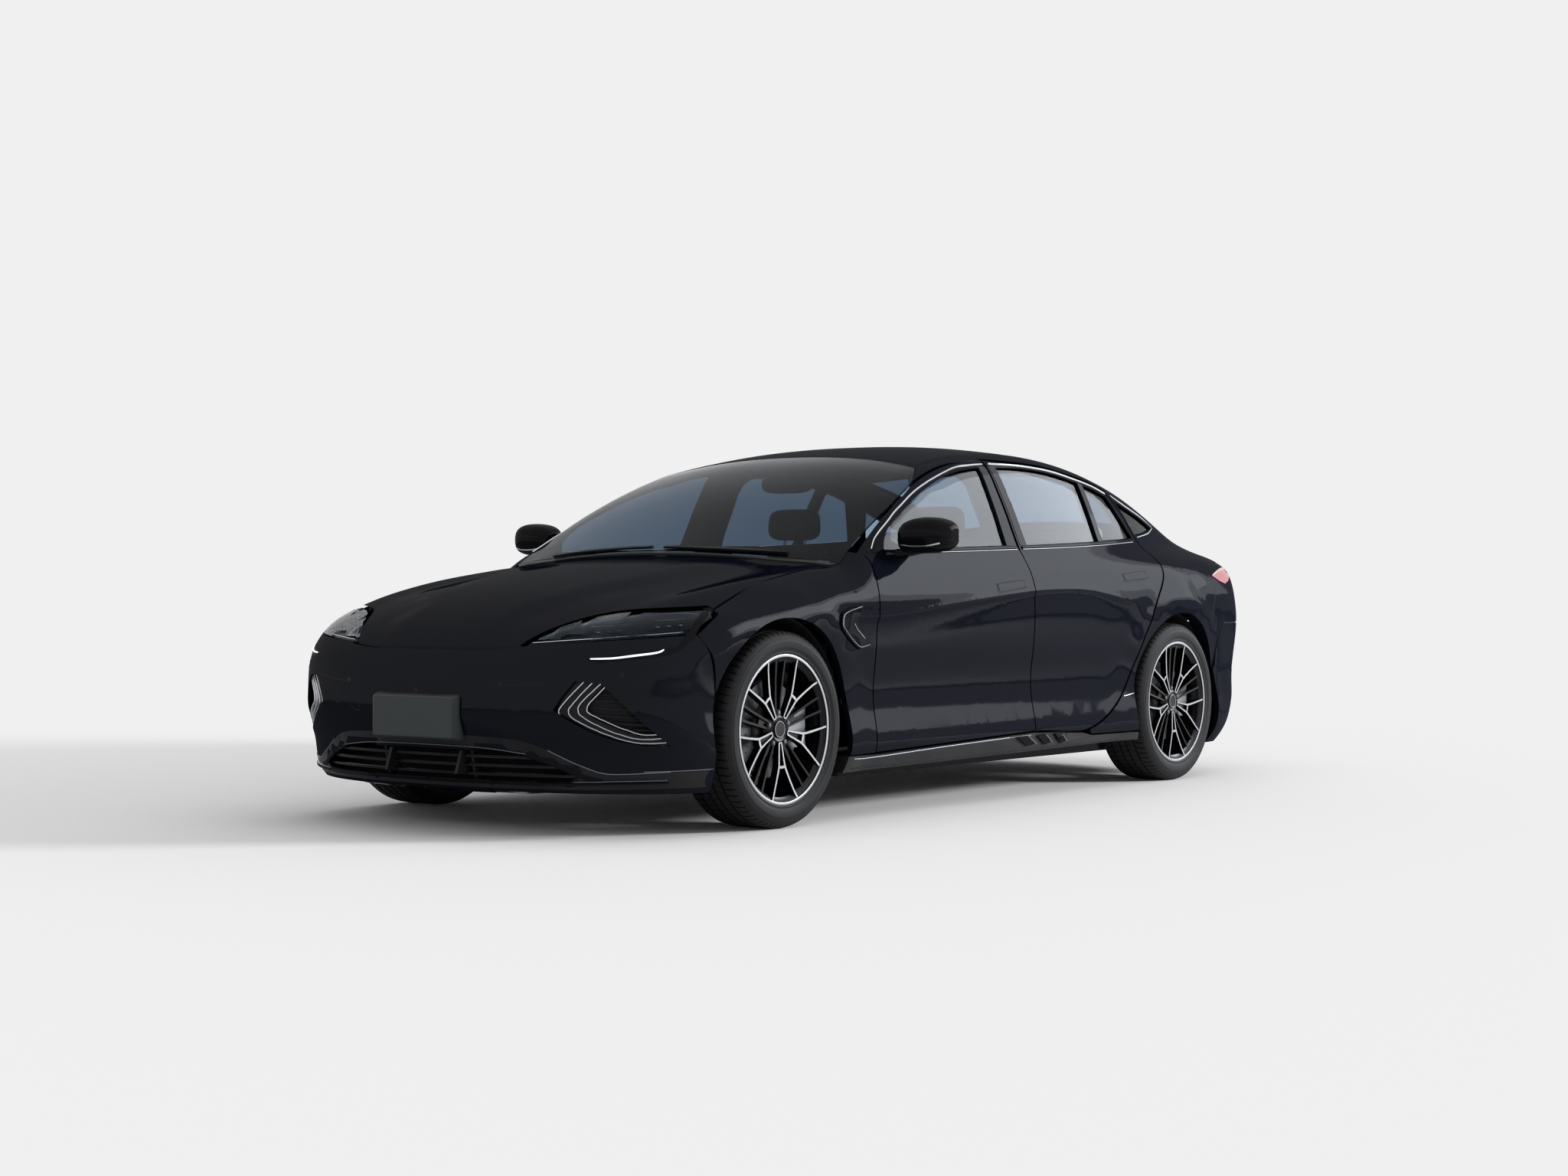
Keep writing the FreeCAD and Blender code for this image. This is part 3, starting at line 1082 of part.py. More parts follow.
doc.recompute()
BAD = [made.Name for made in doc.Objects if "Invalid" in made.State or "Error" in made.State]
if BAD:
    raise RuntimeError("failed objects: %s" % BAD)
for label, made in nodes.items():
    if made.Shape.isNull() or not made.Shape.isValid() or made.Shape.Volume <= 0:
        raise RuntimeError("bad shape: %s" % label)
    made.Shape.exportStep("parts/%s.step" % label)
print(len(nodes), "parts written")
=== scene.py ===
import math

import bmesh
import bpy
import numpy as np
from mathutils import Matrix, Vector
from mathutils.bvhtree import BVHTree
from mathutils.geometry import delaunay_2d_cdt


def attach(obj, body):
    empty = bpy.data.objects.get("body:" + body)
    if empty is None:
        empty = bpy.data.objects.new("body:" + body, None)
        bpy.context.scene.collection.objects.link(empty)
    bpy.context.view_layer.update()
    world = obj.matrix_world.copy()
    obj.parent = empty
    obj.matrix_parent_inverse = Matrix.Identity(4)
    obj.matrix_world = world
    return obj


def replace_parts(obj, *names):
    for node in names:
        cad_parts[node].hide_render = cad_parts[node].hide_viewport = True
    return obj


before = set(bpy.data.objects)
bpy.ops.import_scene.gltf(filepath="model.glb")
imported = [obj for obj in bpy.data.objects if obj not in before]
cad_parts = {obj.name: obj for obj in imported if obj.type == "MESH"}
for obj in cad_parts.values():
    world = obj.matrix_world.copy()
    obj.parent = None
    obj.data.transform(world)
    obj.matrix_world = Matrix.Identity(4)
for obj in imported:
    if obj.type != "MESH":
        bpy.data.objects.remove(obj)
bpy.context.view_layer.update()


# ---------------------------------------------------------------- camera
# The view of the photograph: a long lens at headlamp height, off the front
# corner on the driver's side of the car.
SENSOR_MM, FOCAL_PIXELS, PHOTO_PIXELS = 36.0, 3326.7, 2048
lens = bpy.data.cameras.new("front_corner_lens")
lens.sensor_width = SENSOR_MM
lens.lens = FOCAL_PIXELS / PHOTO_PIXELS * SENSOR_MM
lens.clip_start, lens.clip_end = 0.1, 200.0
camera = bpy.data.objects.new("front_corner_camera", lens)
bpy.context.scene.collection.objects.link(camera)
around, above, lean = math.radians(36.41), math.radians(-0.02), math.radians(0.16)
away = Vector((math.sin(around) * math.cos(above), -math.cos(around) * math.cos(above),
               math.sin(above)))
camera.rotation_mode = "QUATERNION"
camera.location = (6.198, -8.680, 0.839)
camera.rotation_quaternion = (away.to_track_quat("Z", "Y")
                              @ Matrix.Rotation(lean, 3, "Z").to_quaternion())
bpy.context.scene.camera = camera
bpy.context.scene.view_settings.view_transform = "Standard"


# ---------------------------------------------------------------- studio
# A pale seamless floor in an even pale room. Soft panels over the car and low
# at the driver's side light it; two broad cards show only as reflections.
def feed(tree, value, socket):
    """A socket takes a plain number or the output of another node."""
    if isinstance(value, (int, float)):
        socket.default_value = value
    else:
        tree.links.new(value, socket)


def sums(tree, kind, a, b):
    """One maths node of two sockets or plain numbers."""
    made = tree.nodes.new("ShaderNodeMath")
    made.operation = kind
    feed(tree, a, made.inputs[0])
    feed(tree, b, made.inputs[1])
    return made.outputs[0]


room = bpy.data.worlds.new("pale_room")
bpy.context.scene.world = room
room.use_nodes = True
air = room.node_tree
air.nodes.clear()
seen, lit = air.nodes.new("ShaderNodeBackground"), air.nodes.new("ShaderNodeBackground")
seen.inputs["Color"].default_value = (0.872, 0.872, 0.880, 1)
lit.inputs["Color"].default_value = (0.94, 0.96, 1.0, 1)
lit.inputs["Strength"].default_value = 0.23
path = air.nodes.new("ShaderNodeLightPath").outputs
direct = sums(air, "MAXIMUM", path["Is Camera Ray"], path["Is Transmission Ray"])
direct = sums(air, "MAXIMUM", direct, path["Is Glossy Ray"])
which = air.nodes.new("ShaderNodeMixShader")
for value, socket in zip((direct, lit.outputs[0], seen.outputs[0]), which.inputs):
    feed(air, value, socket)
feed(air, which.outputs[0], air.nodes.new("ShaderNodeOutputWorld").inputs[0])

floor_mesh = bmesh.new()
bmesh.ops.create_grid(floor_mesh, x_segments=4, y_segments=4, size=16.0)
floor_data = bpy.data.meshes.new("studio_floor")
floor_mesh.to_mesh(floor_data)
floor_mesh.free()
floor = bpy.data.objects.new("studio_floor", floor_data)
floor.location = (0, 0, -0.0005)
floor.is_shadow_catcher = True
bpy.context.scene.collection.objects.link(floor)
screed = bpy.data.materials.new("pale_screed")
screed.use_nodes = True
dust = screed.node_tree
screed_base = dust.nodes["Principled BSDF"]
screed_base.inputs["Roughness"].default_value = 0.9
speck = dust.nodes.new("ShaderNodeTexNoise")
speck.inputs["Scale"].default_value = 3.0
speck_tone = dust.nodes.new("ShaderNodeMix")
speck_tone.data_type = "RGBA"
speck_tone.inputs["A"].default_value = (0.84, 0.84, 0.85, 1)
speck_tone.inputs["B"].default_value = (0.87, 0.87, 0.88, 1)
feed(dust, speck.outputs["Fac"], speck_tone.inputs["Factor"])
feed(dust, speck_tone.outputs["Result"], screed_base.inputs["Base Color"])
floor_data.materials.append(screed)

# Each panel: name, place, aim, width, height, power, tint, seen in reflections.
for name, place, aim, wide, deep, watts, colour, mirrored in (
        ("overhead_panel", (0.6, 0.6, 6.6), (0, 0.2, 0), 6.0, 9.0, 116, (0.97, 0.98, 1.0), False),
        ("low_side_panel", (8.6, 5.4, 3.3), (0, 0, 0.6), 2.2, 1.5, 1000, (1.0, 0.99, 0.97), False),
        ("long_side_panel", (6.4, 8.0, 4.9), (0, 0, 0.8), 9.0, 4.0, 820, (0.90, 0.95, 1.0), True),
        ("wide_side_panel", (6.4, 8.0, 4.9), (0, 0, 0.8), 11.0, 6.4, 860, (0.90, 0.95, 1.0), True),
        ("nose_panel", (1.5, -9.0, 3.6), (0, -1.5, 0.6), 6.5, 2.0, 50, (0.9, 0.94, 1.0), False),
        ("tail_panel_light", (-3.0, 8.0, 3.8), (0, 1.5, 0.8), 6.5, 2.4, 90, (1, 1, 1), False)):
    data = bpy.data.lights.new(name, "AREA")
    data.shape = "RECTANGLE"
    data.size, data.size_y = wide, deep
    data.energy = watts
    data.color = colour
    panel = bpy.data.objects.new(name, data)
    panel.location = place
    panel.rotation_mode = "QUATERNION"
    panel.rotation_quaternion = (Vector(aim) - Vector(place)).to_track_quat("-Z", "Y")
    panel.visible_glossy = mirrored
    panel.visible_diffuse = not mirrored
    panel.visible_transmission = False
    bpy.context.scene.collection.objects.link(panel)


# ---------------------------------------------------------------- finishes
# Effects that several finishes share, each built once as a node group: road
# film low down, moulded grain, fine flake and a crossed weave.
def effect(name, takes, gives):
    """A node group with number inputs and outputs, and the place on the object."""
    made = bpy.data.node_groups.new(name, "ShaderNodeTree")
    for label, value in takes:
        socket = made.interface.new_socket(label, in_out="INPUT", socket_type="NodeSocketFloat")
        socket.default_value = value
    for label in gives:
        made.interface.new_socket(label, in_out="OUTPUT", socket_type="NodeSocketFloat")
    given, result = made.nodes.new("NodeGroupInput"), made.nodes.new("NodeGroupOutput")
    where = made.nodes.new("ShaderNodeTexCoord").outputs["Object"]
    return made, given.outputs, result.inputs, where


def noise(tree, where, scale, detail, rough=0.5):
    made = tree.nodes.new("ShaderNodeTexNoise")
    for label, value in (("Detail", detail), ("Roughness", rough), ("Vector", where),
                         ("Scale", scale)):
        feed(tree, value, made.inputs[label])
    return made.outputs["Fac"]


def cells(tree, where, scale):
    made = tree.nodes.new("ShaderNodeTexVoronoi")
    feed(tree, where, made.inputs["Vector"])
    feed(tree, scale, made.inputs["Scale"])
    return made.outputs


# Road film: strongest near the ground, broken up by soft streaks.
road_film, given, result, where = effect(
    "road_film", [("Top", 0.5), ("Amount", 0.5), ("Scale", 6.0)], ["Film"])
split = road_film.nodes.new("ShaderNodeSeparateXYZ")
feed(road_film, where, split.inputs[0])
height = sums(road_film, "DIVIDE", split.outputs["Z"], given["Top"])
low = sums(road_film, "SUBTRACT", 1.0, height)
patchy = noise(road_film, where, given["Scale"], 5.0, 0.6)
mask = sums(road_film, "MULTIPLY", sums(road_film, "MAXIMUM", low, 0.06),
            sums(road_film, "POWER", patchy, 1.5))
amount = sums(road_film, "MULTIPLY", mask, given["Amount"])
feed(road_film, sums(road_film, "MINIMUM", amount, 1.0), result["Film"])

# Moulded grain: small rounded cells for plastic and hide.
grain, given, result, where = effect("grain", [("Scale", 900.0), ("Mix", 0.3)], ["Height", "Tone"])
pebble = cells(grain, where, given["Scale"])["Distance"]
broad = noise(grain, where, 9.0, 4.0)
height = sums(grain, "ADD", sums(grain, "POWER", pebble, 0.6),
              sums(grain, "MULTIPLY", broad, given["Mix"]))
feed(grain, height, result["Height"])
feed(grain, broad, result["Tone"])

# Flake: tiny bright specks under the lacquer, with a slow drift of tone.
flake, given, result, where = effect("flake", [("Scale", 1400.0), ("Share", 0.8)],
    ["Speck", "Drift"])
specks = cells(flake, where, given["Scale"])["Color"]
pick = flake.nodes.new("ShaderNodeSeparateColor")
feed(flake, specks, pick.inputs[0])
feed(flake, sums(flake, "GREATER_THAN", pick.outputs["Red"], given["Share"]), result["Speck"])
feed(flake, noise(flake, where, 1.6, 2.0), result["Drift"])

# Weave: crossed ridges for cloth, carpet and lens cells.
weave, given, result, where = effect("weave", [("Scale", 260.0)], ["Height", "Tone"])
ridges = []
for axis in ("X", "Y"):
    wave = weave.nodes.new("ShaderNodeTexWave")
    wave.bands_direction = axis
    feed(weave, where, wave.inputs["Vector"])
    feed(weave, given["Scale"], wave.inputs["Scale"])
    ridges.append(wave.outputs["Fac"])
feed(weave, sums(weave, "MAXIMUM", *ridges), result["Height"])
feed(weave, noise(weave, where, 40.0, 4.0), result["Tone"])


def finish(name, colour, rough, metal=0.0, **sockets):
    """A Principled finish with its constants on its own sockets."""
    made = bpy.data.materials.new(name)
    made.use_nodes = True
    base = made.node_tree.nodes["Principled BSDF"]
    base.inputs["Base Color"].default_value = (*colour, 1)
    base.inputs["Roughness"].default_value = rough
    base.inputs["Metallic"].default_value = metal
    for label, value in sockets.items():
        base.inputs[label.replace("_", " ")].default_value = value
    made.diffuse_color = (*colour, 1)
    return made


def put(material, group, **values):
    """Places a shared effect in a material with its own values."""
    made = material.node_tree.nodes.new("ShaderNodeGroup")
    made.node_tree = group
    for label, value in values.items():
        made.inputs[label].default_value = value
    return made.outputs


def drive(material, value, label):
    """A node's output drives one socket of the finish."""
    tree = material.node_tree
    feed(tree, value, tree.nodes["Principled BSDF"].inputs[label])
    return value


def tint(material, mask, first, second):
    """Base colour runs from first to second over a mask."""
    mix = material.node_tree.nodes.new("ShaderNodeMix")
    mix.data_type = "RGBA"
    mix.inputs["B"].default_value = (*second, 1)
    if isinstance(first, tuple):
        mix.inputs["A"].default_value = (*first, 1)
    else:
        feed(material.node_tree, first, mix.inputs["A"])
    feed(material.node_tree, mask, mix.inputs["Factor"])
    return drive(material, mix.outputs["Result"], "Base Color")


def dull(material, mask, low, high):
    """Roughness runs from low to high over a mask."""
    run = material.node_tree.nodes.new("ShaderNodeMapRange")
    run.inputs["To Min"].default_value = low
    run.inputs["To Max"].default_value = high
    feed(material.node_tree, mask, run.inputs["Value"])
    drive(material, run.outputs["Result"], "Roughness")


def emboss(material, height, strength, depth):
    """A height pattern pressed into the surface."""
    bump = material.node_tree.nodes.new("ShaderNodeBump")
    bump.inputs["Strength"].default_value = strength
    bump.inputs["Distance"].default_value = depth
    feed(material.node_tree, height, bump.inputs["Height"])
    drive(material, bump.outputs["Normal"], "Normal")


def toned(name, colour, rough, group, scale, first, second, **sockets):
    """A finish whose colour drifts between two tones over one shared effect."""
    made = finish(name, colour, rough, **sockets)
    tint(made, put(made, group, Scale=scale)["Drift" if group is flake else "Tone"], first, second)
    return made


def moulded(name, colour, rough, scale, depth, film=0.3, **sockets):
    """Grained plastic or hide with a little road film in its low places."""
    made = finish(name, colour, rough, **sockets)
    texture = put(made, grain, Scale=scale)
    worn = tuple(min(1.0, c * 1.6 + 0.004) for c in colour)
    first = tint(made, texture["Tone"], colour, worn)
    if film:
        tint(made, put(made, road_film, Top=0.55, Amount=film)["Film"], first, (0.16, 0.15, 0.14))
    dull(made, texture["Tone"], max(0.05, rough - 0.1), min(1.0, rough + 0.12))
    emboss(made, texture["Height"], 0.5, depth)
    return made


# Midnight paint: near-black blue base with fine flake under a clear lacquer.
paint = finish("midnight_paint", (0.003, 0.004, 0.008), 0.32, 0.0, Specular_IOR_Level=0.0,
               Coat_Weight=0.06, Coat_Roughness=0.07, Coat_IOR=2.5)
paint_flake = put(paint, flake, Scale=1300.0, Share=0.72)
paint_body = tint(paint, paint_flake["Drift"], (0.0025, 0.0034, 0.0070), (0.0036, 0.0046, 0.0090))
paint_body = tint(paint, paint_flake["Speck"], paint_body, (0.007, 0.008, 0.016))
paint_film = put(paint, road_film, Top=0.40, Amount=0.05, Scale=9.0)["Film"]
tint(paint, paint_film, paint_body, (0.10, 0.10, 0.10))
dull(paint, paint_film, 0.28, 0.5)

# Gloss black trim, satin black plastic and coarse black plastic.
gloss_black = finish("gloss_black", (0.006, 0.006, 0.008), 0.08, Specular_IOR_Level=0.0,
                     Coat_Weight=0.15, Coat_Roughness=0.03, Coat_IOR=1.5)
gloss_film = put(gloss_black, road_film, Top=0.5, Amount=0.12)["Film"]
tint(gloss_black, gloss_film, (0.006, 0.006, 0.008), (0.07, 0.07, 0.07))
dull(gloss_black, gloss_film, 0.07, 0.4)
satin_black = moulded("satin_black", (0.010, 0.010, 0.012), 0.38, 1500.0, 0.00006, 0.22,
                      Specular_IOR_Level=0.15)
coarse_black = moulded("coarse_black", (0.014, 0.014, 0.015), 0.62, 900.0, 0.0002, 0.35,
                       Specular_IOR_Level=0.20)

# Tinted safety glass, clear lamp covers and red lamp covers.
clear = {"Transmission_Weight": 1.0, "Specular_IOR_Level": 0.0, "IOR": 1.05,
         "Coat_Roughness": 0.01, "Coat_IOR": 1.5}
side_glass = toned("tinted_glass", (0.27, 0.36, 0.46), 0.0, flake, 900.0, (0.26, 0.35, 0.45),
                   (0.28, 0.37, 0.47), Coat_Weight=0.36, **clear)
screen_glass = toned("screen_glass", (0.17, 0.225, 0.28), 0.0, flake, 900.0, (0.16, 0.215, 0.27),
                     (0.18, 0.235, 0.29), Coat_Weight=0.16, **clear)
dark_glass = toned("roof_tint_glass", (0.006, 0.009, 0.014), 0.1, flake, 900.0,
    (0.005, 0.008, 0.012), (0.007, 0.01, 0.016), Alpha=0.94, Specular_IOR_Level=0.0,
    Coat_Weight=0.06, Coat_Roughness=0.02, Coat_IOR=2.5)
lamp_cover = toned("lamp_cover", (0.42, 0.50, 0.58), 0.0, flake, 900.0, (0.40, 0.48, 0.56),
                   (0.44, 0.52, 0.60), Coat_Weight=0.15, **clear)
red_cover = toned("red_cover", (0.55, 0.012, 0.010), 0.06, flake, 900.0, (0.52, 0.010, 0.009),
                  (0.60, 0.015, 0.012), Transmission_Weight=0.75, IOR=1.45)


def metal(name, colour, rough, scale, depth, film=0.15, **sockets):
    """Bare, plated or cast metal with a fine broken texture."""
    made = finish(name, colour, rough, 1.0, **sockets)
    texture = put(made, grain, Scale=scale, Mix=0.8)
    first = tint(made, texture["Tone"], colour, tuple(c * 0.82 for c in colour))
    tint(made, put(made, road_film, Top=0.7, Amount=film)["Film"], first, (0.13, 0.12, 0.11))
    dull(made, texture["Tone"], max(0.03, rough - 0.06), rough + 0.12)
    emboss(made, texture["Height"], 0.4, depth)
    return made


chrome = metal("bright_trim", (0.82, 0.83, 0.85), 0.12, 2200.0, 0.00001, 0.05)
cut_alloy = metal("machined_alloy", (0.55, 0.56, 0.58), 0.24, 1800.0, 0.00002, 0.12)
dark_alloy = metal("gloss_black_alloy", (0.012, 0.012, 0.014), 0.26, 900.0, 0.00002, 0.12,
                   Coat_Weight=0.25, Coat_Roughness=0.05)
disc_steel = metal("turned_steel", (0.17, 0.17, 0.175), 0.34, 700.0, 0.00004, 0.15)
cast_iron = metal("cast_iron", (0.10, 0.10, 0.105), 0.55, 420.0, 0.0003, 0.5)
cast_alloy = metal("cast_alloy", (0.36, 0.37, 0.38), 0.50, 420.0, 0.0003, 0.5)


# ---------------------------------------------------------------- body panels
# Pressed steel and alloy panels, each hung or bolted at its own shut line and
# sprayed as a set; bumpers and skirts are moulded. Glass is bonded or slides.
def coat(material, *names):
    """A frame node gets its finish; its own mesh stays as it is."""
    for name in names:
        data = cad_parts[name].data
        data.materials.clear()
        data.materials.append(material)


coat(paint, "bonnet", "fender_left", "fender_right", "door_front_left", "door_front_right",
     "door_rear_left", "door_rear_right", "side_frame_left", "side_frame_right", "roof_frame",
     "boot_lid", "tail_panel", "front_bumper", "rear_bumper")
coat(satin_black, "skirts", "cowl", "air_curtains", "lower_grille")
coat(gloss_black, "mirror_left", "mirror_right")
coat(side_glass, "glass_front_left", "glass_front_right", "glass_rear_left",
     "glass_rear_right", "quarter_glass", "rear_window")
coat(screen_glass, "windscreen")
coat(dark_glass, "roof_glass")
coat(lamp_cover, "headlamps")
coat(red_cover, "tail_lamps", "tail_lamp_bar")
coat(coarse_black, "platform", "dashboard", "steering_wheel")
coat(cast_alloy, "front_suspension", "rear_suspension", "knuckle_front_left",
     "knuckle_front_right", "drive_units")
coat(cast_iron, "battery_pack")
for name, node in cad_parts.items():
    if not node.data.materials or node.data.materials[0] is None:
        coat(coarse_black, name)


# ---------------------------------------------------------------- tyres
# Moulded rubber on a steel belt: three ribs of cut blocks, open shoulders and
# a plain sidewall with a rim guard. Held on the rim by its bead and air.
TURN = 2 * math.pi
SIDES = (("left", 1), ("right", -1))


def mm(*values, each=2):
    """Places given in millimetres, as tuples in metres."""
    return [tuple(value / 1000 for value in values[k:k + each])
            for k in range(0, len(values), each)]


def shape(name, points, faces, finishes, body, picks=None, smooth=None, side=1):
    """One piece from points and faces; side -1 makes the other hand of it."""
    points = np.asarray(points, float).reshape(-1, 3)
    if side < 0:
        points = points * (-1, 1, 1)
        faces = [face[::-1] for face in faces]
    data = bpy.data.meshes.new(name)
    data.from_pydata(points.tolist(), [], [list(map(int, face)) for face in faces])
    for material in finishes:
        data.materials.append(material)
    if picks is not None:
        data.polygons.foreach_set("material_index", np.asarray(picks, int))
    made = bpy.data.objects.new(name, data)
    bpy.context.scene.collection.objects.link(made)
    if smooth is not None:
        data.polygons.foreach_set("use_smooth", np.ones(len(data.polygons), bool))
        data.set_sharp_from_angle(angle=math.radians(smooth))
    data.update()
    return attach(made, body)


class Heap:
    """Points, faces and finish numbers of several forms that make one piece."""

    def __init__(self):
        self.points, self.faces, self.picks = [], [], []

    def add(self, points, faces, pick=0):
        start = len(self.points)
        self.points.extend(tuple(map(float, p)) for p in points)
        self.faces.extend(tuple(start + i for i in face) for face in faces)
        self.picks.extend(pick if isinstance(pick, list) else [pick] * len(faces))

    def make(self, name, finishes, body, smooth=None, side=1):
        return shape(name, self.points, self.faces, finishes, body, self.picks, smooth, side)


def bands(rings, count, loop=False, sheet=False, back=False):
    """Quads from ring to ring; a loop ends where it began, a sheet's rings stay open."""
    faces = []
    for k in range(rings if loop else rings - 1):
        for j in range(count - sheet):
            here, after, i = k * count, (k + 1) % rings * count, (j + 1) % count
            if back:
                faces.append((here + j, after + j, after + i, here + i))
            else:
                faces.append((here + j, here + i, after + i, after + j))
    return faces


def lathe(heap, profile, steps, pick=0, middle=(0, 0, 0)):
    """A profile of (distance from the axle, offset outboard) turned round X."""
    points = []
    for step in range(steps):
        angle = TURN * step / steps
        for r, x in profile:
            points.append((middle[0] + x, middle[1] + r * math.cos(angle),
                           middle[2] + r * math.sin(angle)))
    heap.add(points, bands(steps, len(profile), loop=True, sheet=True, back=True), pick)


rubber = moulded("tyre_rubber", (0.005, 0.005, 0.006), 0.65, 800.0, 0.0002, 0.05,
                 Specular_IOR_Level=0.25)


def tread_block(heap, across, lift, low, start, end, slant):
    """One tread block: its top follows the crown, its walls drop to the belt."""
    points = []
    for x, r in zip(across, lift):
        for angle in (start, end):
            lean = angle + slant * x
            points.append((x, r * math.cos(lean), r * math.sin(lean)))
            points.append((x, low * math.cos(lean), low * math.sin(lean)))
    faces, last = [], len(across) - 1
    for k in range(last):
        a, b = 4 * k, 4 * k + 4
        faces += [(a, b, b + 2, a + 2), (a, a + 1, b + 1, b), (a + 2, b + 2, b + 3, a + 3)]
    faces += [(0, 2, 3, 1), (4 * last, 4 * last + 1, 4 * last + 3, 4 * last + 2)]
    heap.add(points, faces)


tyre = Heap()
outer_wall = mm(244.5, 94, 252, 100.5, 258, 101.2, 264, 107, 269, 110.5, 273, 110.8, 275, 109.8,
    286, 114, 286.2, 114.6, 288, 115, 288.2, 114.6, 296, 116.3, 306, 115.8, 306.2, 116.4, 307.8,
    116.2, 308, 115.4, 318, 112.4, 328, 107, 335, 101.2, 338.5, 95.5, 339.2, 86)
belt = [(r, -x) for r, x in reversed(outer_wall)]
lathe(tyre, outer_wall + belt, 120)
PITCHES = 76
step = TURN / PITCHES
for pitch in range(PITCHES):
    start = TURN * pitch / PITCHES
    for x0, x1, lag, slant in ((-0.012, 0.012, 0.0, -0.9), (0.021, 0.051, 0.37, 0.9),
                               (-0.051, -0.021, 0.7, -0.9)):
        offset = lag * step
        tread_block(tyre, (x0, x1), (0.3469, 0.3465), 0.3380, start + offset,
                    start + offset + step * 0.90, slant)
    for way in (1, -1):
        across = [way * x for x in (0.060, 0.080, 0.0905, 0.0985, 0.1035)]
        lift = (0.3460, 0.3452, 0.3436, 0.3398, 0.3345)
        tread_block(tyre, across[::way], lift[::way], 0.3330, start, start + step * 0.80,
                    0.35 * way)
RIB_COUNT = 180
for rib in range(RIB_COUNT):
    start = TURN * rib / RIB_COUNT
    tread_block(tyre, (0.1095, 0.1128), (0.3215, 0.3190), 0.3140, start,
                start + TURN / RIB_COUNT * 0.45, 0.0)

HALF_TRACK, HUB_HEIGHT, FRONT_AXLE, REAR_AXLE = 0.81, 0.347, -1.51, 1.41
CORNERS = [(end + "_" + hand, Matrix.Translation((side * HALF_TRACK, axle, HUB_HEIGHT)), side)
           for end, axle in (("front", FRONT_AXLE), ("rear", REAR_AXLE)) for hand, side in SIDES]
for corner, hub, side in CORNERS:
    made = tyre.make("tyre_tread_" + corner, [rubber], corner + "_wheel", 32, side)
    made.data.transform(hub)
    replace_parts(made, "tyre_" + corner)


# ---------------------------------------------------------------- rims
# Cast alloy, sprayed gloss black, then the spoke faces and the lip are cut
# bright on a lathe. Five looped Y spokes, five black double spokes between.
def spoke_bar(heap, along, centre, bright, way=1, flare=0.0035):
    """A bar through stations (radius, sideways, face offset, half width, depth)."""
    turn = Matrix.Rotation(centre, 3, "X")
    points, count = [], len(along)
    for index, (r, v, x, half, depth) in enumerate(along):
        before, after = along[max(0, index - 1)], along[min(count - 1, index + 1)]
        run = Vector((after[0] - before[0], (after[1] - before[1]) * way)).normalized()
        for width, drop in ((-half - flare, depth), (-half - 0.0012, 0.0015), (-half, 0.0),
                            (half, 0.0), (half + 0.0012, 0.0015), (half + flare, depth)):
            points.append(turn @ Vector((x - drop, r - run[1] * width, v * way + run[0] * width)))
    faces = bands(count, 6, sheet=True, back=True)
    faces += [(0, 1, 2, 3, 4, 5), tuple(6 * count - 1 - k for k in range(6))]
    machined = [1, 1, 0 if bright else 1, 1, 1]
    heap.add(points, faces, machined * (count - 1) + [1, 1])


def web(heap, corners, x, thick, centre, pick):
    """A flat web between the bars, in the plane of the wheel."""
    turn = Matrix.Rotation(centre, 3, "X")
    points = [turn @ Vector((x - drop, r, v)) for drop in (0.0, thick) for r, v in corners]
    count = len(corners)
    faces = [tuple(range(count)), tuple(reversed(range(count, 2 * count)))]
    heap.add(points, faces + bands(2, count, back=True), pick)


def round_hub(radius, angle):
    """A place beside the axle, for lathe."""
    return 0, radius * math.cos(angle), radius * math.sin(angle)


rim = Heap()
lathe(rim, mm(242, -104, 253, -106, 253, -103, 244, -100, 235, -90, 234, -75, 220, -50, 219, 45,
    233, 70, 237, 88, 247, 96, 254, 101, 254.5, 104.5), 120, 1)
lathe(rim, mm(254.5, 104.5, 255.2, 106.2, 257, 106.8, 264, 106.8, 266, 106, 266.4, 104), 120, 0)
lathe(rim, mm(266.4, 104, 265, 100.5, 256, 98.5, 245, 90, 242, 70), 120, 1)
lathe(rim, mm(0, 84.2, 26, 84.2, 26.8, 85, 29, 85, 30, 83.5, 31, 80, 32.5, 80, 42, 83.5, 47, 82,
    56, 74, 70, 64, 72, 34, 0, 34), 60, 1)
lathe(rim, mm(26.8, 85.05, 27.4, 85.6, 28.4, 85.6, 29, 85.05), 60, 0)
looped_spoke = mm(46, 6.2, 85, 2.2, 16, 54, 7.8, 85.8, 2.8, 18, 90, 11.8, 88, 3.1, 22,
                  126, 16.5, 90.5, 3.6, 24, 142, 21.5, 91.8, 4, 25, 180, 39, 94.8, 3.6, 26,
                  220, 59, 98.5, 3.4, 26, 248, 74.5, 103.5, 3.6, 20, each=5)
black_spoke = mm(50, 11, 76, 3.5, 16, 120, 16.5, 80, 3.6, 20, 180, 21, 85, 3.6, 22,
                 244, 26, 93, 4, 20, each=5)
hub_end = mm(47.5, -5, 85.1, 2.2, 16, 47.5, 5, 85.1, 2.2, 16, each=5)
bridge = mm(131, -18, 91.1, 4, 24, 132.5, 0, 91.1, 4.8, 24, 131, 18, 91.1, 4, 24, each=5)
FIRST_SPOKE, SPOKE_STEP, HALF_STEP = 271.7, 72, 36
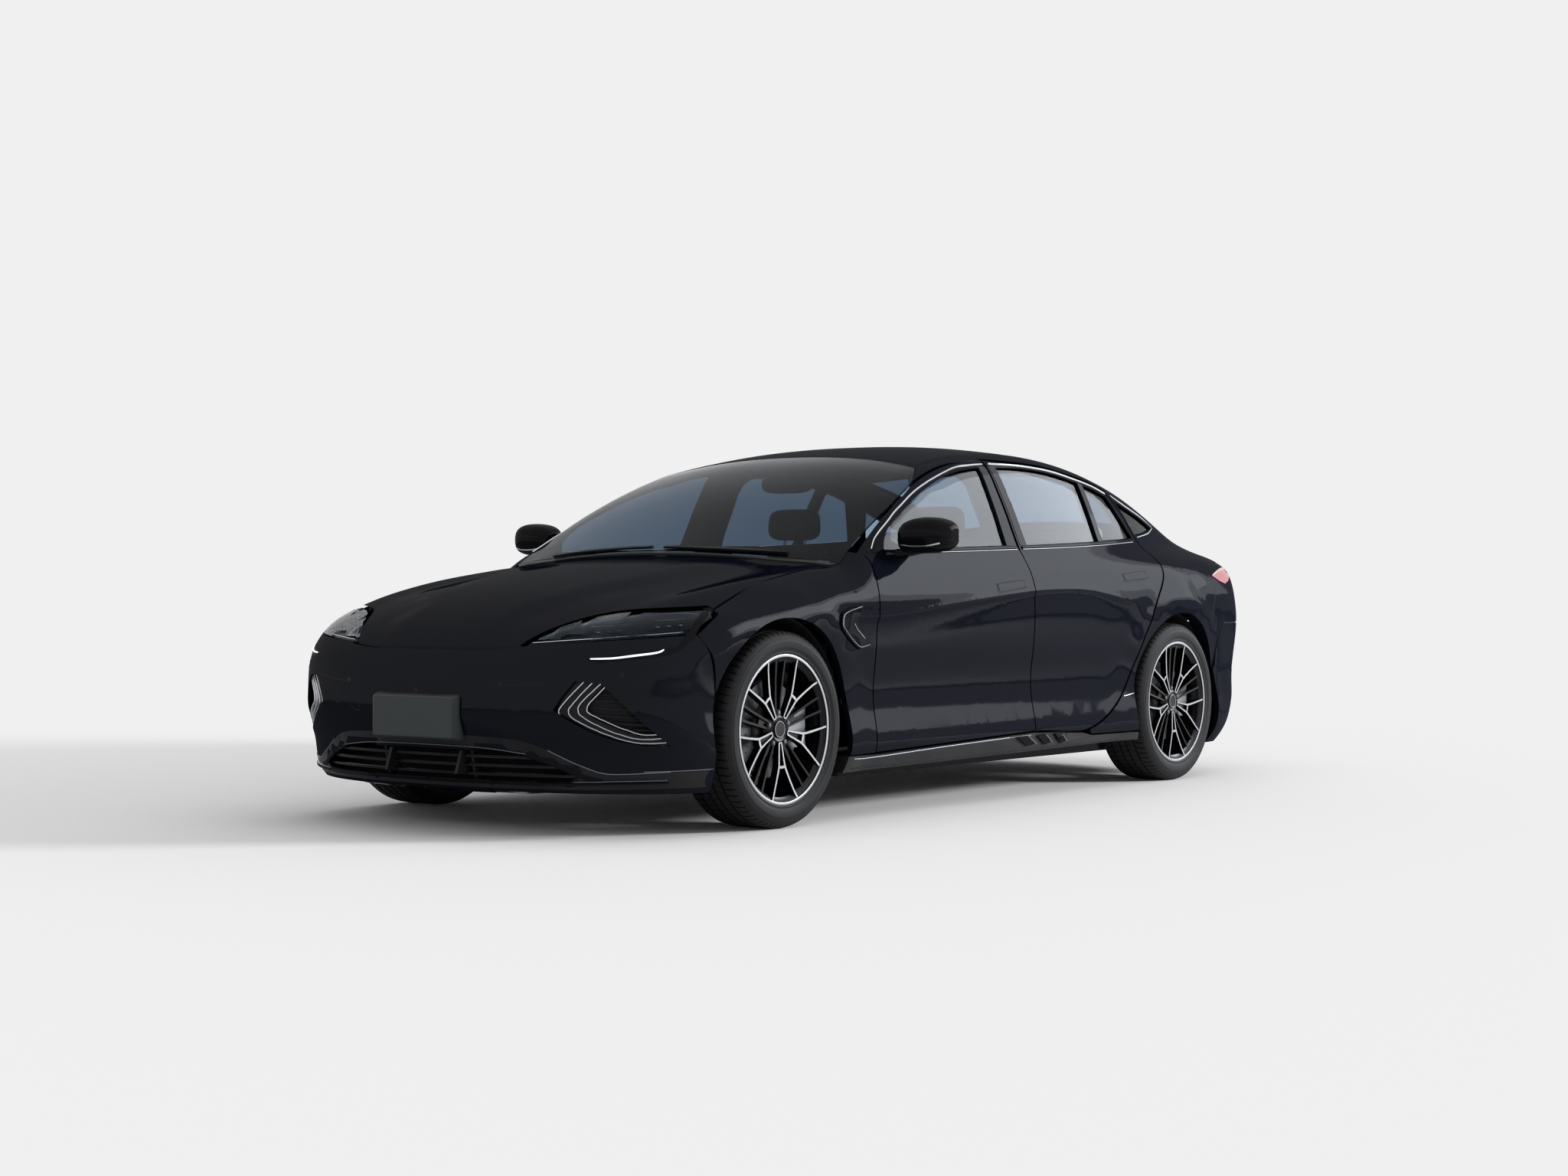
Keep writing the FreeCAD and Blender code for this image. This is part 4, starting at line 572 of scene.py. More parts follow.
for k in range(5):
    centre = math.radians(FIRST_SPOKE + SPOKE_STEP * k)
    between = centre + math.radians(HALF_STEP)
    for way in (1, -1):
        spoke_bar(rim, looped_spoke, centre, True, way)
    spoke_bar(rim, hub_end, centre, True)
    spoke_bar(rim, bridge, centre, True)
    web(rim, mm(44, -10, 130, -19, 130, 19, 44, 10), 0.08, 0.012, centre, 1)
    for way in (1, -1):
        spoke_bar(rim, black_spoke, between, False, way)
    web(rim, mm(46, -12, 110, -17, 110, 17, 46, 12), 0.07, 0.01, between, 1)
for k in range(5):
    bolt = round_hub(0.0571, math.radians(FIRST_SPOKE + HALF_STEP + SPOKE_STEP * k))
    lathe(rim, mm(0, 83.5, 5.5, 83.5, 8.5, 81.5, 9.2, 70), 6, 2, bolt)
    lathe(rim, mm(9.8, 79, 12.5, 79, 14, 74), 24, 1, bolt)
VALVE = 289
lathe(rim, mm(0, 101, 2.8, 100.5, 3, 90, 4, 89.5, 4.2, 70), 12, 1,
    round_hub(0.226, math.radians(VALVE)))

# Vented iron disc with drilled faces on an alloy hat, turning with the rim; the
# holes are black discs on the outer face, painted shade.
brake = Heap()
lathe(brake, mm(100, 33, 170.6, 33, 172, 31.8, 172, 24, 168, 23.5, 168, 16.5, 172, 16, 172, 8.2,
    170.6, 7, 100, 7), 96, 0)
lathe(brake, mm(100, 7, 100, 34.5, 96, 44, 90, 50, 0, 50), 60, 1)
VANES, HOLES = 48, 20
for vane in range(VANES):
    turn = Matrix.Rotation(TURN * vane / VANES, 3, "X")
    points = [turn @ Vector((x, r, v)) for x in (0.0162, 0.0238) for r in (0.120, 0.1716)
              for v in (-0.0022, 0.0022)]
    brake.add(points, [(0, 1, 3, 2), (4, 6, 7, 5), (0, 2, 6, 4), (1, 5, 7, 3), (2, 3, 7, 6)], 0)
# Black discs on the outer face stand in for the drilled holes: painted shade.
for r, shift in ((0.116, 0.0), (0.134, 0.11), (0.152, 0.22)):
    for hole in range(HOLES):
        lathe(brake, mm(0, 33.2, 3.2, 33.2, 3.8, 33), 10, 2, round_hub(r,
            TURN * (hole / HOLES) + shift))

# Dead black: dark joints, parting lines, wiper blades; painted shade in holes and joint depths.
black_and_painted_shade = finish("black_and_painted_shade", (0.004, 0.004, 0.004), 0.9)
for corner, hub, side in CORNERS:
    for label, heap, finishes, slot in (
            ("alloy_rim_", rim, [cut_alloy, dark_alloy, disc_steel], "alloy"),
            ("brake_disc_", brake, [disc_steel, cast_iron, black_and_painted_shade], "steel")):
        made = heap.make(label + corner, finishes, corner + "_wheel", 30, side)
        made.data.transform(hub)
        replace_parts(made, "rim_" + corner)


# ---------------------------------------------------------------- nose
# Moulded bumper skin with a satin black lower mouth: framed opening, thin
# slats, two upright fins, a bright-edged lip, a blank plate box and sensors.
AHEAD, BEHIND = Vector((0, 1, 0)).freeze(), Vector((0, -1, 0)).freeze()
INWARD, DOWN = Vector((-1, 0, 0)).freeze(), Vector((0, 0, -1)).freeze()


def skin(names, way):
    """A heap of forms to set down on frame nodes, met along one way."""
    points, faces = [], []
    for name in names.split():
        data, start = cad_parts[name].data, len(points)
        points += [v.co.copy() for v in data.vertices]
        faces += [[start + i for i in p.vertices] for p in data.polygons]
    made = Heap()
    made.tree, made.way = BVHTree.FromPolygons(points, faces), way
    return made


def settle(heap, a, b):
    """The skin under a place seen along the heap's way: where it is and how it faces."""
    spot, reach, slack = {
        AHEAD: (Vector((a, -3, b)), 0.8, 0.0), BEHIND: (Vector((a, 3, b)), 0.7, 0.2),
        INWARD: (Vector((1.6, a, b)), 0.75, 0.0), DOWN: (Vector((a, b, 2.5)), 1.6, 0.0)}[heap.way]
    place, facing, _, _ = heap.tree.ray_cast(spot, heap.way)
    if place is None:
        place, facing, _, _ = heap.tree.find_nearest(spot + heap.way * reach)
    return place, -facing if facing.dot(heap.way) > slack else facing


def smooth_line(line, parts=6, loop=False):
    """A Catmull-Rom curve through places given as tuples."""
    count = len(line)
    spots = [Vector(p) for p in line]
    if count == 2 and not loop:
        return [spots[0].lerp(spots[1], k / parts) for k in range(parts + 1)]
    made = []
    for k in range(count if loop else count - 1):
        ends = [(k - 1) % count, k, (k + 1) % count, (k + 2) % count] if loop else [
            max(0, k - 1), k, k + 1, min(count - 1, k + 2)]
        a, b, c, d = (spots[i] for i in ends)
        for part in range(parts):
            t = part / parts
            made.append(0.5 * (2 * b + (c - a) * t + (2 * a - 5 * b + 4 * c - d) * t * t
                               + (3 * b - a - 3 * c + d) * t * t * t))
    return made if loop else made + [spots[-1]]


def strip(heap, line, width, proud, pick=0, parts=6, loop=False, lift=0.0, narrow=1.0):
    """A thin moulding of low round section laid along a line on the skin."""
    spots = [settle(heap, p[0], p[1]) for p in smooth_line(line, parts, loop)]
    count, points, sink = len(spots), [], 0.0008
    for k, (place, facing) in enumerate(spots):
        before = spots[(k - 1) % count if loop else max(0, k - 1)][0]
        after = spots[(k + 1) % count if loop else min(count - 1, k + 1)][0]
        across = facing.cross((after - before).normalized()).normalized()
        share = 1.0 - (1.0 - narrow) * abs(2.0 * k / max(1, count - 1) - 1.0) ** 2
        for s, h in ((-0.5, -sink), (-0.5, proud * 0.55), (-0.28, proud), (0.28, proud),
                     (0.5, proud * 0.55), (0.5, -sink)):
            points.append(place + across * (s * width * share) + facing * (h + lift))
    ends = [] if loop else [(5, 4, 3, 2, 1, 0), tuple(6 * count - 6 + j for j in range(6))]
    heap.add(points, bands(count, 6, loop) + ends, pick)


def within(spot, outline):
    hit = False
    for a, b in zip(outline, outline[1:] + outline[:1]):
        if (a[1] > spot[1]) != (b[1] > spot[1]):
            if spot[0] < (b[0] - a[0]) * (spot[1] - a[1]) / (b[1] - a[1]) + a[0]:
                hit = not hit
    return hit


def patch(heap, outline, lift, thick, grid=0.02, pick=0, holes=()):
    """A sheet cut to an outline and laid on the skin, with real thickness."""
    loops, flat, edges = [], [], []
    for ring in (outline, *holes):
        fine = []
        for a, b in zip(ring, ring[1:] + ring[:1]):
            parts = max(1, int(math.dist(a, b) / grid))
            fine += [(a[0] + (b[0] - a[0]) * k / parts, a[1] + (b[1] - a[1]) * k / parts)
                     for k in range(parts)]
        start = len(flat)
        loops.append(fine)
        flat += [Vector(p) for p in fine]
        edges += [(start + k, start + (k + 1) % len(fine)) for k in range(len(fine))]
    low = [min(p[i] for p in outline) for i in (0, 1)]
    high = [max(p[i] for p in outline) for i in (0, 1)]
    for i in range(1, int((high[0] - low[0]) / grid)):
        for j in range(1, int((high[1] - low[1]) / grid)):
            spot = (low[0] + i * grid, low[1] + j * grid)
            clear = min(math.dist(spot, p) for fine in loops for p in fine) > grid * 0.6
            if clear and within(spot, outline) and not any(within(spot, h) for h in holes):
                flat.append(Vector(spot))
    flat, _, cut, *_ = delaunay_2d_cdt(flat, edges, [], 0, 1e-6)
    kept = []
    for cell in cut:
        middle = sum((flat[i] for i in cell), Vector((0, 0))) / len(cell)
        if within(middle, outline) and not any(within(middle, h) for h in holes):
            kept.append(cell)
    spots = [settle(heap, p[0], p[1]) for p in flat]
    count = len(flat)
    points = [place + facing * rise for rise in (lift, lift - thick) for place, facing in spots]
    a, b, c = (points[i] for i in kept[0][:3])
    if (b - a).cross(c - a).dot(spots[kept[0][0]][1]) < 0:
        kept = [cell[::-1] for cell in kept]
    faces = kept + [[count + i for i in reversed(cell)] for cell in kept]
    sides = {pair: True for cell in kept for pair in zip(cell, cell[1:] + cell[:1])}
    faces += [(i, i + count, j + count, j) for i, j in sides if (j, i) not in sides]
    heap.add(points, faces, pick)


def both_sides(half):
    """The ring that half an outline makes with its mirror image."""
    other = [(-a, b) for a, b in reversed(half) if a]
    return other[-1:] + half + other[:-1] if half[0][0] else half + other


def rounded(x0, x1, y0, y1, bend, parts):
    """A rectangle's outline with round corners."""
    ring = []
    for cx, cy, first in ((x1 - bend, y1 - bend, 0), (x0 + bend, y1 - bend, 90),
                          (x0 + bend, y0 + bend, 180), (x1 - bend, y0 + bend, 270)):
        turns = [math.radians(first + 90 / parts * k) for k in range(parts + 1)]
        ring += [(cx + bend * math.cos(turn), cy + bend * math.sin(turn)) for turn in turns]
    return ring


def button(heap, x, z, profile, pick=0):
    """A small turned cap on the skin, from its rim in to its middle."""
    place, facing = settle(heap, x, z)
    turn = facing.to_track_quat("Z", "Y").to_matrix()
    points = [place + turn @ Vector((r * math.cos(TURN * s / 20), r * math.sin(TURN * s / 20), h))
              for s in range(20) for r, h in profile]
    heap.add(points, bands(20, len(profile), loop=True, sheet=True, back=True), pick)


mouth = both_sides(mm(218, 297, 425, 280, 600, 214, 560, 186))
brow = smooth_line(mm(0, 346, 210, 341, 390, 332, 480, 310, 560, 270, 620, 242, 680, 221, 760, 221,
    840, 226), 3)
brow = [tuple(p) for p in brow]
chin = mm(840, 170, 700, 166, 500, 163, 300, 162, 0, 162)
fascia = skin("front_bumper", AHEAD)
patch(fascia, both_sides(brow + chin), 0.0012, 0.0016, 0.022, 0, [mouth])
strip(fascia, mouth, 0.016, 0.0045, 1, 8, True)
bright_mouth = [(a * 1.012, 0.240 + (b - 0.240) * 1.10) for a, b in mouth]
strip(fascia, bright_mouth[7:] + bright_mouth[:3], 0.0030, 0.0060, 2, 6)
fascia_end = skin("front_bumper", INWARD)
patch(fascia_end, mm(-2130, 226.5, -1990, 229, -1892, 231, -1892, 170, -2000, 169.5, -2130, 169),
    0.0012, 0.0016, 0.02, 0)
strip(fascia_end, mm(-2120, 227, -1990, 229.5, -1895, 231.5), 0.003, 0.003, 2, 6)
for way in (1, -1):
    fascia.add([(way * x, y, z) for x, y, z in fascia_end.points],
               [face[::way] for face in fascia_end.faces], fascia_end.picks)
fine_line = metal("fine_bright_line", (0.30, 0.32, 0.36), 0.35, 1500.0, 0.00001, 0.1)
fascia.make("lower_fascia", [satin_black, gloss_black, fine_line], "car_body", 35)

lip = skin("front_bumper", AHEAD)
lip_low = mm(0, 186, 280, 186, 460, 184, 600, 186, 720, 190, 830, 192)
lip_edge = [(a, b + 0.0075) for a, b in lip_low]
for way in (1, -1):
    for line, wide, proud, pick, parts in (
            (lip_low, 0.010, 0.010, 0, 6), (lip_edge, 0.003, 0.0085, 1, 6),
            (brow[10:], 0.0035, 0.003, 1, 3)):
        strip(lip, [(way * a, b) for a, b in line], wide, proud, pick, parts)
lip.make("front_lip", [gloss_black, fine_line], "car_body", 35)

slats = skin("lower_grille", AHEAD)
core_black = moulded("core_black", (0.008, 0.008, 0.009), 0.6, 700.0, 0.0001, 0.2,
                     Specular_IOR_Level=0.1)
for z, half in ((0.213, 0.545), (0.243, 0.50), (0.273, 0.43)):
    strip(slats, [(half * share, z) for share in (-1, -0.5, 0.0, 0.5, 1)], 0.006, 0.004, 0, 8)
for x in (-0.166, 0.166):
    corners = mm(-2330, 286, -2352, 286, -2378, 208, -2300, 200)
    points = [(x + half, y, z) for half in (-0.006, 0.006) for y, z in corners]
    slats.add(points, [(0, 1, 2, 3), (7, 6, 5, 4), (0, 4, 5, 1), (1, 5, 6, 2), (2, 6, 7, 3),
                       (3, 7, 4, 0)], 1)


def core_line(x):
    """Where the radiator core lies behind the mouth: it bows with the bumper."""
    return 0.30 * x * x


CORE_CELL = 0.0775
for k in range(17):
    ends = [-0.62 + CORE_CELL * k - CORE_CELL, -0.62 + CORE_CELL * k]
    slats.add([(x, -2.262 + core_line(x), z) for x in ends for z in (0.150, 0.335)],
              [(0, 2, 3, 1)], 2)
for k in range(21):
    z = 0.158 + 0.0085 * k
    points = [(x, -2.2622 + core_line(x) - 0.0016 * s, z + 0.0016 * (s - 1))
              for x in (-0.62, -0.465, -0.31, -0.155, 0.0, 0.155, 0.31, 0.465, 0.62)
              for s in (0, 1, 2)]
    slats.add(points, bands(9, 3, sheet=True, back=True), 2)
slats.make("grille_slats", [dark_alloy, satin_black, core_black], "car_body", 30)

plate_box = Heap()
steps = mm(-6, -2420.8, -2, -2420.8, 0, -2419.5, 2, -2414, 6, -2400, 11, -2385, 11, -2370)
points = [(x, y, z) for grow, y in steps
          for x, z in rounded(-0.189 - grow, 0.189 + grow, 0.329 - grow, 0.471 + grow, 0.010, 4)]
faces = [tuple(range(20))] + bands(7, 20, back=True)
plate_box.add(points, [face[::-1] for face in faces])
blank = moulded("blank_plate", (0.020, 0.026, 0.025), 0.42, 500.0, 0.00005, 0.2)
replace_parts(plate_box.make("front_plate_box", [blank], "car_body", 30), "front_plate")

dots = skin("front_bumper", AHEAD)
for x, z in ((0.0, 0.487), (0.746, 0.551), (-0.746, 0.551), (0.36, 0.515), (-0.36, 0.515)):
    button(dots, x, z, mm(9.5, -1, 9.5, 0.6, 8.2, 1, 7.8, 0.4, 0, 0.4))
tow = mm(-383, 468, -353, 434, -326, 413, -291, 415, -316, 446, -345, 472)
strip(dots, tow, 0.0022, 0.0004, 1, 5, True)
# Thin dark lines run in from each vent's inner corner, tapering at both ends.
for way in (1, -1):
    strip(dots, [(way * 0.322, 0.507), (way * 0.437, 0.515), (way * 0.585, 0.530)], 0.0035,
          0.0004, 1, 6, narrow=0.3)
dots.make("bumper_sensors", [satin_black, black_and_painted_shade], "car_body", 35)


# ---------------------------------------------------------------- air curtains
# Three-cornered duct mouths in satin black. Four thin silver blades bend
# round the inner corner of each, over a louvred panel and the duct itself.
curtain = skin("air_curtains", AHEAD)
blades = [
    mm(622, 525, 589, 486, 560, 448, 550.5, 428, 560, 409, 592, 390, 656, 360, 714, 331, 755, 318,
       798, 316, 842, 320),
    mm(649, 525, 617, 487, 588, 447, 580, 428, 591, 410, 638, 385, 698, 355, 740, 337, 773, 331,
       809, 331, 838, 335),
    mm(672, 523, 641, 487, 614, 453, 608, 434, 618, 416, 661, 390, 720, 360, 754, 347, 785, 344,
       834, 348),
    mm(687, 517, 663, 485, 641, 457, 634, 437, 641, 423, 684, 401, 733, 376, 764, 360, 796, 357,
       827, 358)]
panel = mm(600, 527, 566, 482, 545, 434, 556, 402, 592, 380, 673, 337, 748, 303, 800, 300,
           846, 303, 836, 350, 796, 350, 760, 353, 728, 370, 680, 395, 640, 416, 628, 437,
           636, 462, 660, 492, 684, 524)
patch(curtain, panel, 0.0285, 0.004, 0.016, 0)
for blade in blades:
    strip(curtain, blade, 0.0052, 0.0060, 1, 6, lift=0.0290)
for a, b, c in mm(505, 672, 715, 485, 660, 740, 465, 655, 757, 440, 650, 775, 415, 668, 792,
                  392, 706, 806, 372, 750, 818, each=3):
    strip(curtain, [(b, a), (0.5 * (b + c), a - 0.004), (c, a - 0.008)], 0.006, 0.010, 2, 6,
          lift=0.010)
edge = mm(693, 523, 725, 505, 766, 462, 801, 411, 829, 359, 843, 325)
strip(curtain, edge, 0.0035, 0.003, 3, 6, lift=0.036)
silver = metal("satin_silver", (0.72, 0.73, 0.75), 0.28, 1500.0, 0.00001, 0.05)
for hand, side in SIDES:
    made = curtain.make("air_curtain_" + hand, [satin_black, silver, coarse_black, gloss_black],
                        "car_body", 35, side)


# ---------------------------------------------------------------- headlamps
# A clear moulded cover over a black bezel. Under it lie a pale upper guide,
# six small lens cells and a bright lower blade; the day light sits below.
lamp = skin("headlamps", AHEAD)
lamp_line = mm(401, 649, 430, 676, 464, 702, 537, 740, 608, 755, 680, 763, 824, 775, 866, 741, 870,
    686, 760, 674, 600, 662)
patch(lamp, lamp_line, 0.0, 0.0022, 0.018, 0)
bezel = skin("headlamps", AHEAD)
inner = mm(408, 652, 434, 674, 468, 699, 540, 736, 610, 751, 682, 759, 820, 771, 862, 739, 866,
    689, 760, 677, 600, 665)
BEZEL_DEPTH = -0.0075
patch(bezel, inner, BEZEL_DEPTH, 0.0200, 0.018, 0)
for line, wide, proud, pick, narrow in (
        (mm(425, 657, 520, 664.5, 600, 670.5, 721, 681.5, 796, 688, 846, 694),
         0.004, 0.005, 1, 1.0),
        (mm(436, 671, 494, 705, 548, 726.5, 634, 742.5, 716, 751.5, 800, 759, 842, 748),
         0.015, 0.004, 2, 0.35),
        (mm(452, 672, 548, 708, 640, 726.5, 760, 739.5), 0.0016, 0.003, 3, 1.0),
        (mm(574, 713.5, 687, 720), 0.0018, 0.004, 1, 1.0),
        (mm(752, 734, 815, 741), 0.0018, 0.004, 1, 1.0)):
    strip(bezel, line, wide, proud, pick, 8, lift=BEZEL_DEPTH, narrow=narrow)
LENS_CELLS = mm(616, 697, 648, 700, 680, 703, 776, 715, 801, 718, 826, 721)
CELL_WALL = mm(9, 6.8, -7.6, 9, 6.8, -4, 7.8, 5.6, -4, 7, 4.8, -7, each=3)
for x, z in LENS_CELLS:
    place, facing = settle(bezel, x, z)
    turn = facing.to_track_quat("Y", "Z").to_matrix()
    points = [place + turn @ Vector((a * half, depth, b * tall)) for half, tall, depth in CELL_WALL
              for a, b in ((-1, -1), (1, -1), (1, 1), (-1, 1))]
    bezel.add(points, bands(4, 4), 3)
    dome = [place + turn @ Vector((0.0066 * a * math.cos(b), -0.0068 + 0.0024 * (1 - a * a),
                                   0.0045 * a * math.sin(b)))
            for a in (1.0, 0.6, 0.2) for b in (TURN * s / 16 for s in range(16))]
    bezel.add(dome, bands(3, 16) + [tuple(range(32, 48))], 4)
guide = moulded("pale_light_guide", (0.055, 0.085, 0.120), 0.18, 1200.0, 0.00001, 0.0,
                Specular_IOR_Level=0.15)
lens_blue = toned("projector_lens", (0.55, 0.62, 0.70), 0.05, flake, 800.0, (0.50, 0.58, 0.66),
                  (0.62, 0.68, 0.74), metal=0.7, Coat_Weight=1.0)
bezel_black = toned("bezel_black", (0.005, 0.006, 0.008), 0.3, flake, 700.0,
                    (0.004, 0.005, 0.007), (0.008, 0.010, 0.013), Specular_IOR_Level=0.08)

day = skin("front_bumper", AHEAD)
pocket = mm(636, 603, 673, 591, 772, 603, 834, 613, 852, 628, 842, 644, 823, 638, 766, 624, 688,
    613)
patch(day, pocket, 0.0010, 0.002, 0.016, 0)
strip(day, mm(650, 603.5, 713, 606, 769, 615, 815, 624, 828, 634), 0.0068, 0.0045, 1, 8,
    narrow=0.6)
day_white = toned("day_light_white", (0.9, 0.92, 0.95), 0.25, flake, 500.0, (0.86, 0.89, 0.93),
                  (0.95, 0.96, 0.98), Emission_Color=(0.93, 0.96, 1, 1), Emission_Strength=0.9)
slant_skin = skin("front_bumper fender_left headlamps", INWARD)
day.tree, day.way = slant_skin.tree, slant_skin.way
slant = mm(-1874, 758, -1934, 728, -1982, 690, -2008, 665, -2035, 644, -2060, 632, -2062, 616,
    -2031, 627, -1977, 665, -1935, 707, -1887, 739, -1840, 762)
patch(day, slant, 0.0012, 0.002, 0.014, 2)
for hand, side in SIDES:
    made = lamp.make("headlamp_cover_" + hand, [lamp_cover], "car_body", 40, side)
    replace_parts(made, "headlamps")
    inside = [bezel_black, chrome, guide, dark_alloy, lens_blue]
    bezel.make("headlamp_inside_" + hand, inside, "car_body", 35, side)
    lights = [gloss_black, day_white, gloss_black]
    day.make("day_light_" + hand, lights, "car_body", 35, side)


# ---------------------------------------------------------------- side trim
# Bright roll-formed strips over the windows, gloss black pillar covers, belt
# seals, flush pull handles, the wing trim and the skirt's rear vents.
trim = {"front": skin("door_front_left", INWARD), "rear": skin("door_rear_left", INWARD),
        "quarter": skin("side_frame_left", INWARD)}
for key, line, wide, proud, pick, narrow in (
        ("front", mm(-873, 985, -806, 1030, -735, 1069, -588, 1147, -370, 1240, -94, 1319,
                     60, 1340, 150, 1347), 0.0085, 0.006, 0, 0.75),
        ("rear", mm(196, 1351, 450, 1352, 692, 1340, 900, 1311, 1048, 1286, 1150, 1259),
         0.0085, 0.006, 0, 1.0),
        ("quarter", mm(1205, 1252, 1335, 1207, 1470, 1165, 1590, 1120), 0.0085, 0.006, 0, 0.5),
        ("quarter", mm(1590, 1116, 1510, 1094, 1440, 1083, 1325, 1070), 0.0055, 0.0045, 2, 0.7),
        ("front", mm(-800, 977, -350, 991, 84, 1005, 150, 1007), 0.011, 0.0055, 1, 1.0),
        ("rear", mm(200, 1009, 560, 1021, 886, 1035, 1100, 1047, 1262, 1056), 0.011, 0.0055, 1,
         1.0),
        ("front", mm(-800, 969.5, -350, 983.5, 84, 997.5, 150, 999.5), 0.0028, 0.0035, 4, 1.0),
        ("rear", mm(200, 1001.5, 560, 1013.5, 886, 1027.5, 1100, 1039.5, 1250, 1048),
         0.0028, 0.0035, 4, 1.0)):
    strip(trim[key], line, wide, proud, pick, 8, narrow=narrow)
for key, outline, thick, grid in (
        ("front", mm(86, 1013, 156, 1015, 157, 1340, 112, 1336), 0.002, 0.025),
        ("rear", mm(191.5, 1017, 243, 1019, 238, 1344, 191.5, 1342), 0.002, 0.025),
        ("rear", mm(888, 1046, 932, 1048, 948, 1292, 908, 1298), 0.002, 0.025),
        ("front", mm(-880, 974, -800, 982, -800, 1022, -862, 984), 0.003, 0.018)):
    patch(trim[key], outline, 0.0016, thick, grid, 1)

handles = {
    "front": mm(-105, 842, -99, 828, 98, 846, 106, 856, 104, 872, 96, 877, -98, 861, -104, 855),
    "rear": mm(940, 888, 947, 874, 1142, 888, 1150, 896, 1149, 914, 1140, 921, 948, 906, 941, 900)}
for key, outline in handles.items():
    strip(trim[key], outline, 0.0042, 0.0003, 2, 3, True)
    cx, cy = (0.5 * (outline[0][i] + outline[4][i]) for i in (0, 1))
    inner = [(cx + (a - cx) * 0.975, cy + (b - cy) * 0.80) for a, b in outline]
    patch(trim[key], inner, 0.0016, 0.002, 0.02, 3)

chevron = skin("fender_left", INWARD)
chevron_line = mm(-1060, 785, -1139, 771, -1192, 752, -1208, 714, -1195, 692, -1094, 635, -1053,
    620, -972, 632, -992, 648, -1068, 699, -1094, 721, -1086, 742, -1062, 766)
patch(chevron, chevron_line, 0.0075, 0.009, 0.02, 0)
strip(chevron, mm(-1070, 776, -1139, 762, -1182, 746, -1198, 716, -1188, 698, -1094, 643, -1053,
    629, -990, 637), 0.003, 0.003, 1, 6, lift=0.007)
strip(chevron, mm(-1112, 716, -1085, 694, -1030, 660), 0.004, 0.003, 1, 6, lift=0.007)

skirt_vents = skin("skirts", INWARD)
patch(skirt_vents, mm(-20, 256, 100, 258, 290, 262, 500, 246, 600, 226, 370, 209, 132, 206),
    0.0015, 0.002, 0.02, 0)
for start, wide in ((0.030, 0.105), (0.185, 0.085), (0.325, 0.070)):
    top, tip = (start + wide * 0.75, 0.254), (start + wide * 1.45, 0.222)
    patch(skirt_vents, [(start, 0.252), top, tip, (start + wide * 0.85, 0.214)], 0.010, 0.010,
          0.02, 1)
    strip(skirt_vents, [top, (start + wide * 1.1, 0.238), tip], 0.004, 0.003, 2, 4, lift=0.010)
strip(skirt_vents, mm(-1100, 223, -950, 221.5, -400, 240, 150, 254.5), 0.0035, 0.0015, 2, 6)
strip(skirt_vents, mm(-1100, 186, -400, 190, 300, 199, 900, 203), 0.004, 0.002, 1, 6)

ledge = skin("side_frame_left", INWARD)
strip(ledge, mm(932, 386, 985, 392, 1022, 397), 0.0035, 0.0015, 0, 4)
for hand, side in SIDES:
    for key in ("front", "rear"):
        finishes = [chrome, gloss_black, black_and_painted_shade, paint, fine_line]
        made = trim[key].make("%s_door_trim_%s" % (key, hand), finishes,
                              "%s_%s_door" % (key, hand), 35, side)
    made = trim["quarter"].make("quarter_trim_" + hand, [chrome, gloss_black, fine_line],
                                "car_body", 35, side)
    chevron.make("wing_trim_" + hand, [gloss_black, fine_line], "car_body", 35, side)
    skirt_vents.make("skirt_vents_" + hand, [coarse_black, gloss_black, fine_line], "car_body", 35,
                     side)
    ledge.make("rear_reflector_strip_" + hand, [chrome], "car_body", 35, side)


# ---------------------------------------------------------------- cabin
# Leather seats with bolsters, sewn panels and post headrests, a soft moulded
# dashboard with two blank screens, a three-spoke wheel and woven carpet.
hide = finish("seat_leather", (0.050, 0.051, 0.056), 0.48, Sheen_Weight=0.15)
hide_grain = put(hide, grain, Scale=900.0, Mix=0.55)
tint(hide, hide_grain["Tone"], (0.040, 0.041, 0.046), (0.062, 0.063, 0.068))
emboss(hide, hide_grain["Height"], 0.45, 0.00025)
thread = toned("seat_thread", (0.35, 0.36, 0.38), 0.7, weave, 900.0, (0.28, 0.29, 0.31),
               (0.40, 0.41, 0.43))


def pad(name, section, low, high, soft, swell, node, side=1):
    """A crowned closed pad: its side section carried across and drawn in at the ends."""
    ring = smooth_line([(0.0, a, b) for a, b in section], 4, True)
    middle = sum(ring, Vector()) / len(ring)
    points, count, steps = [], len(ring), 14
    for k in range(steps + 1):
        share = k / steps
        x = low + (high - low) * share
        edge = min(share, 1 - share) * (high - low)
        draw = soft * (1 - min(1.0, edge / (2.2 * soft))) ** 2
        rise = swell * (1 - (2 * share - 1) ** 2)
        for spot in ring:
            away = (spot - middle).normalized()
            points.append((x, spot.y + away.y * (rise - draw), spot.z + away.z * (rise - draw)))
    faces = bands(steps + 1, count, back=True)
    faces += [tuple(range(count)), tuple(steps * count + j for j in reversed(range(count)))]
    made = shape(name, points, faces, [hide], "car_body", None, 60, side)
    rounder = made.modifiers.new("stitched_form", "SUBSURF")
    rounder.levels = rounder.render_levels = 1
    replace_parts(made, node)


def seam(heap, spots, radius=0.0016):
    """A sewn edge that stands up a little from the hide."""
    line, points = smooth_line(spots, 5), []
    for k, spot in enumerate(line):
        along = (line[min(k + 1, len(line) - 1)] - line[max(0, k - 1)]).normalized()
        side = along.cross(Vector((0.3, 0.2, 0.9))).normalized()
        up = along.cross(side)
        for j in range(5):
            turn = TURN * j / 5
            points.append(spot + side * radius * math.cos(turn) + up * radius * math.sin(turn))
    heap.add(points, bands(len(line), 5), 1)


def drum(heap, x, y, levels, count, pick):
    """An upright round form through levels of (height, radius)."""
    heap.add([(x + r * math.cos(TURN * s / count), y + r * math.sin(TURN * s / count), z)
              for z, r in levels for s in range(count)], bands(len(levels), count), pick)


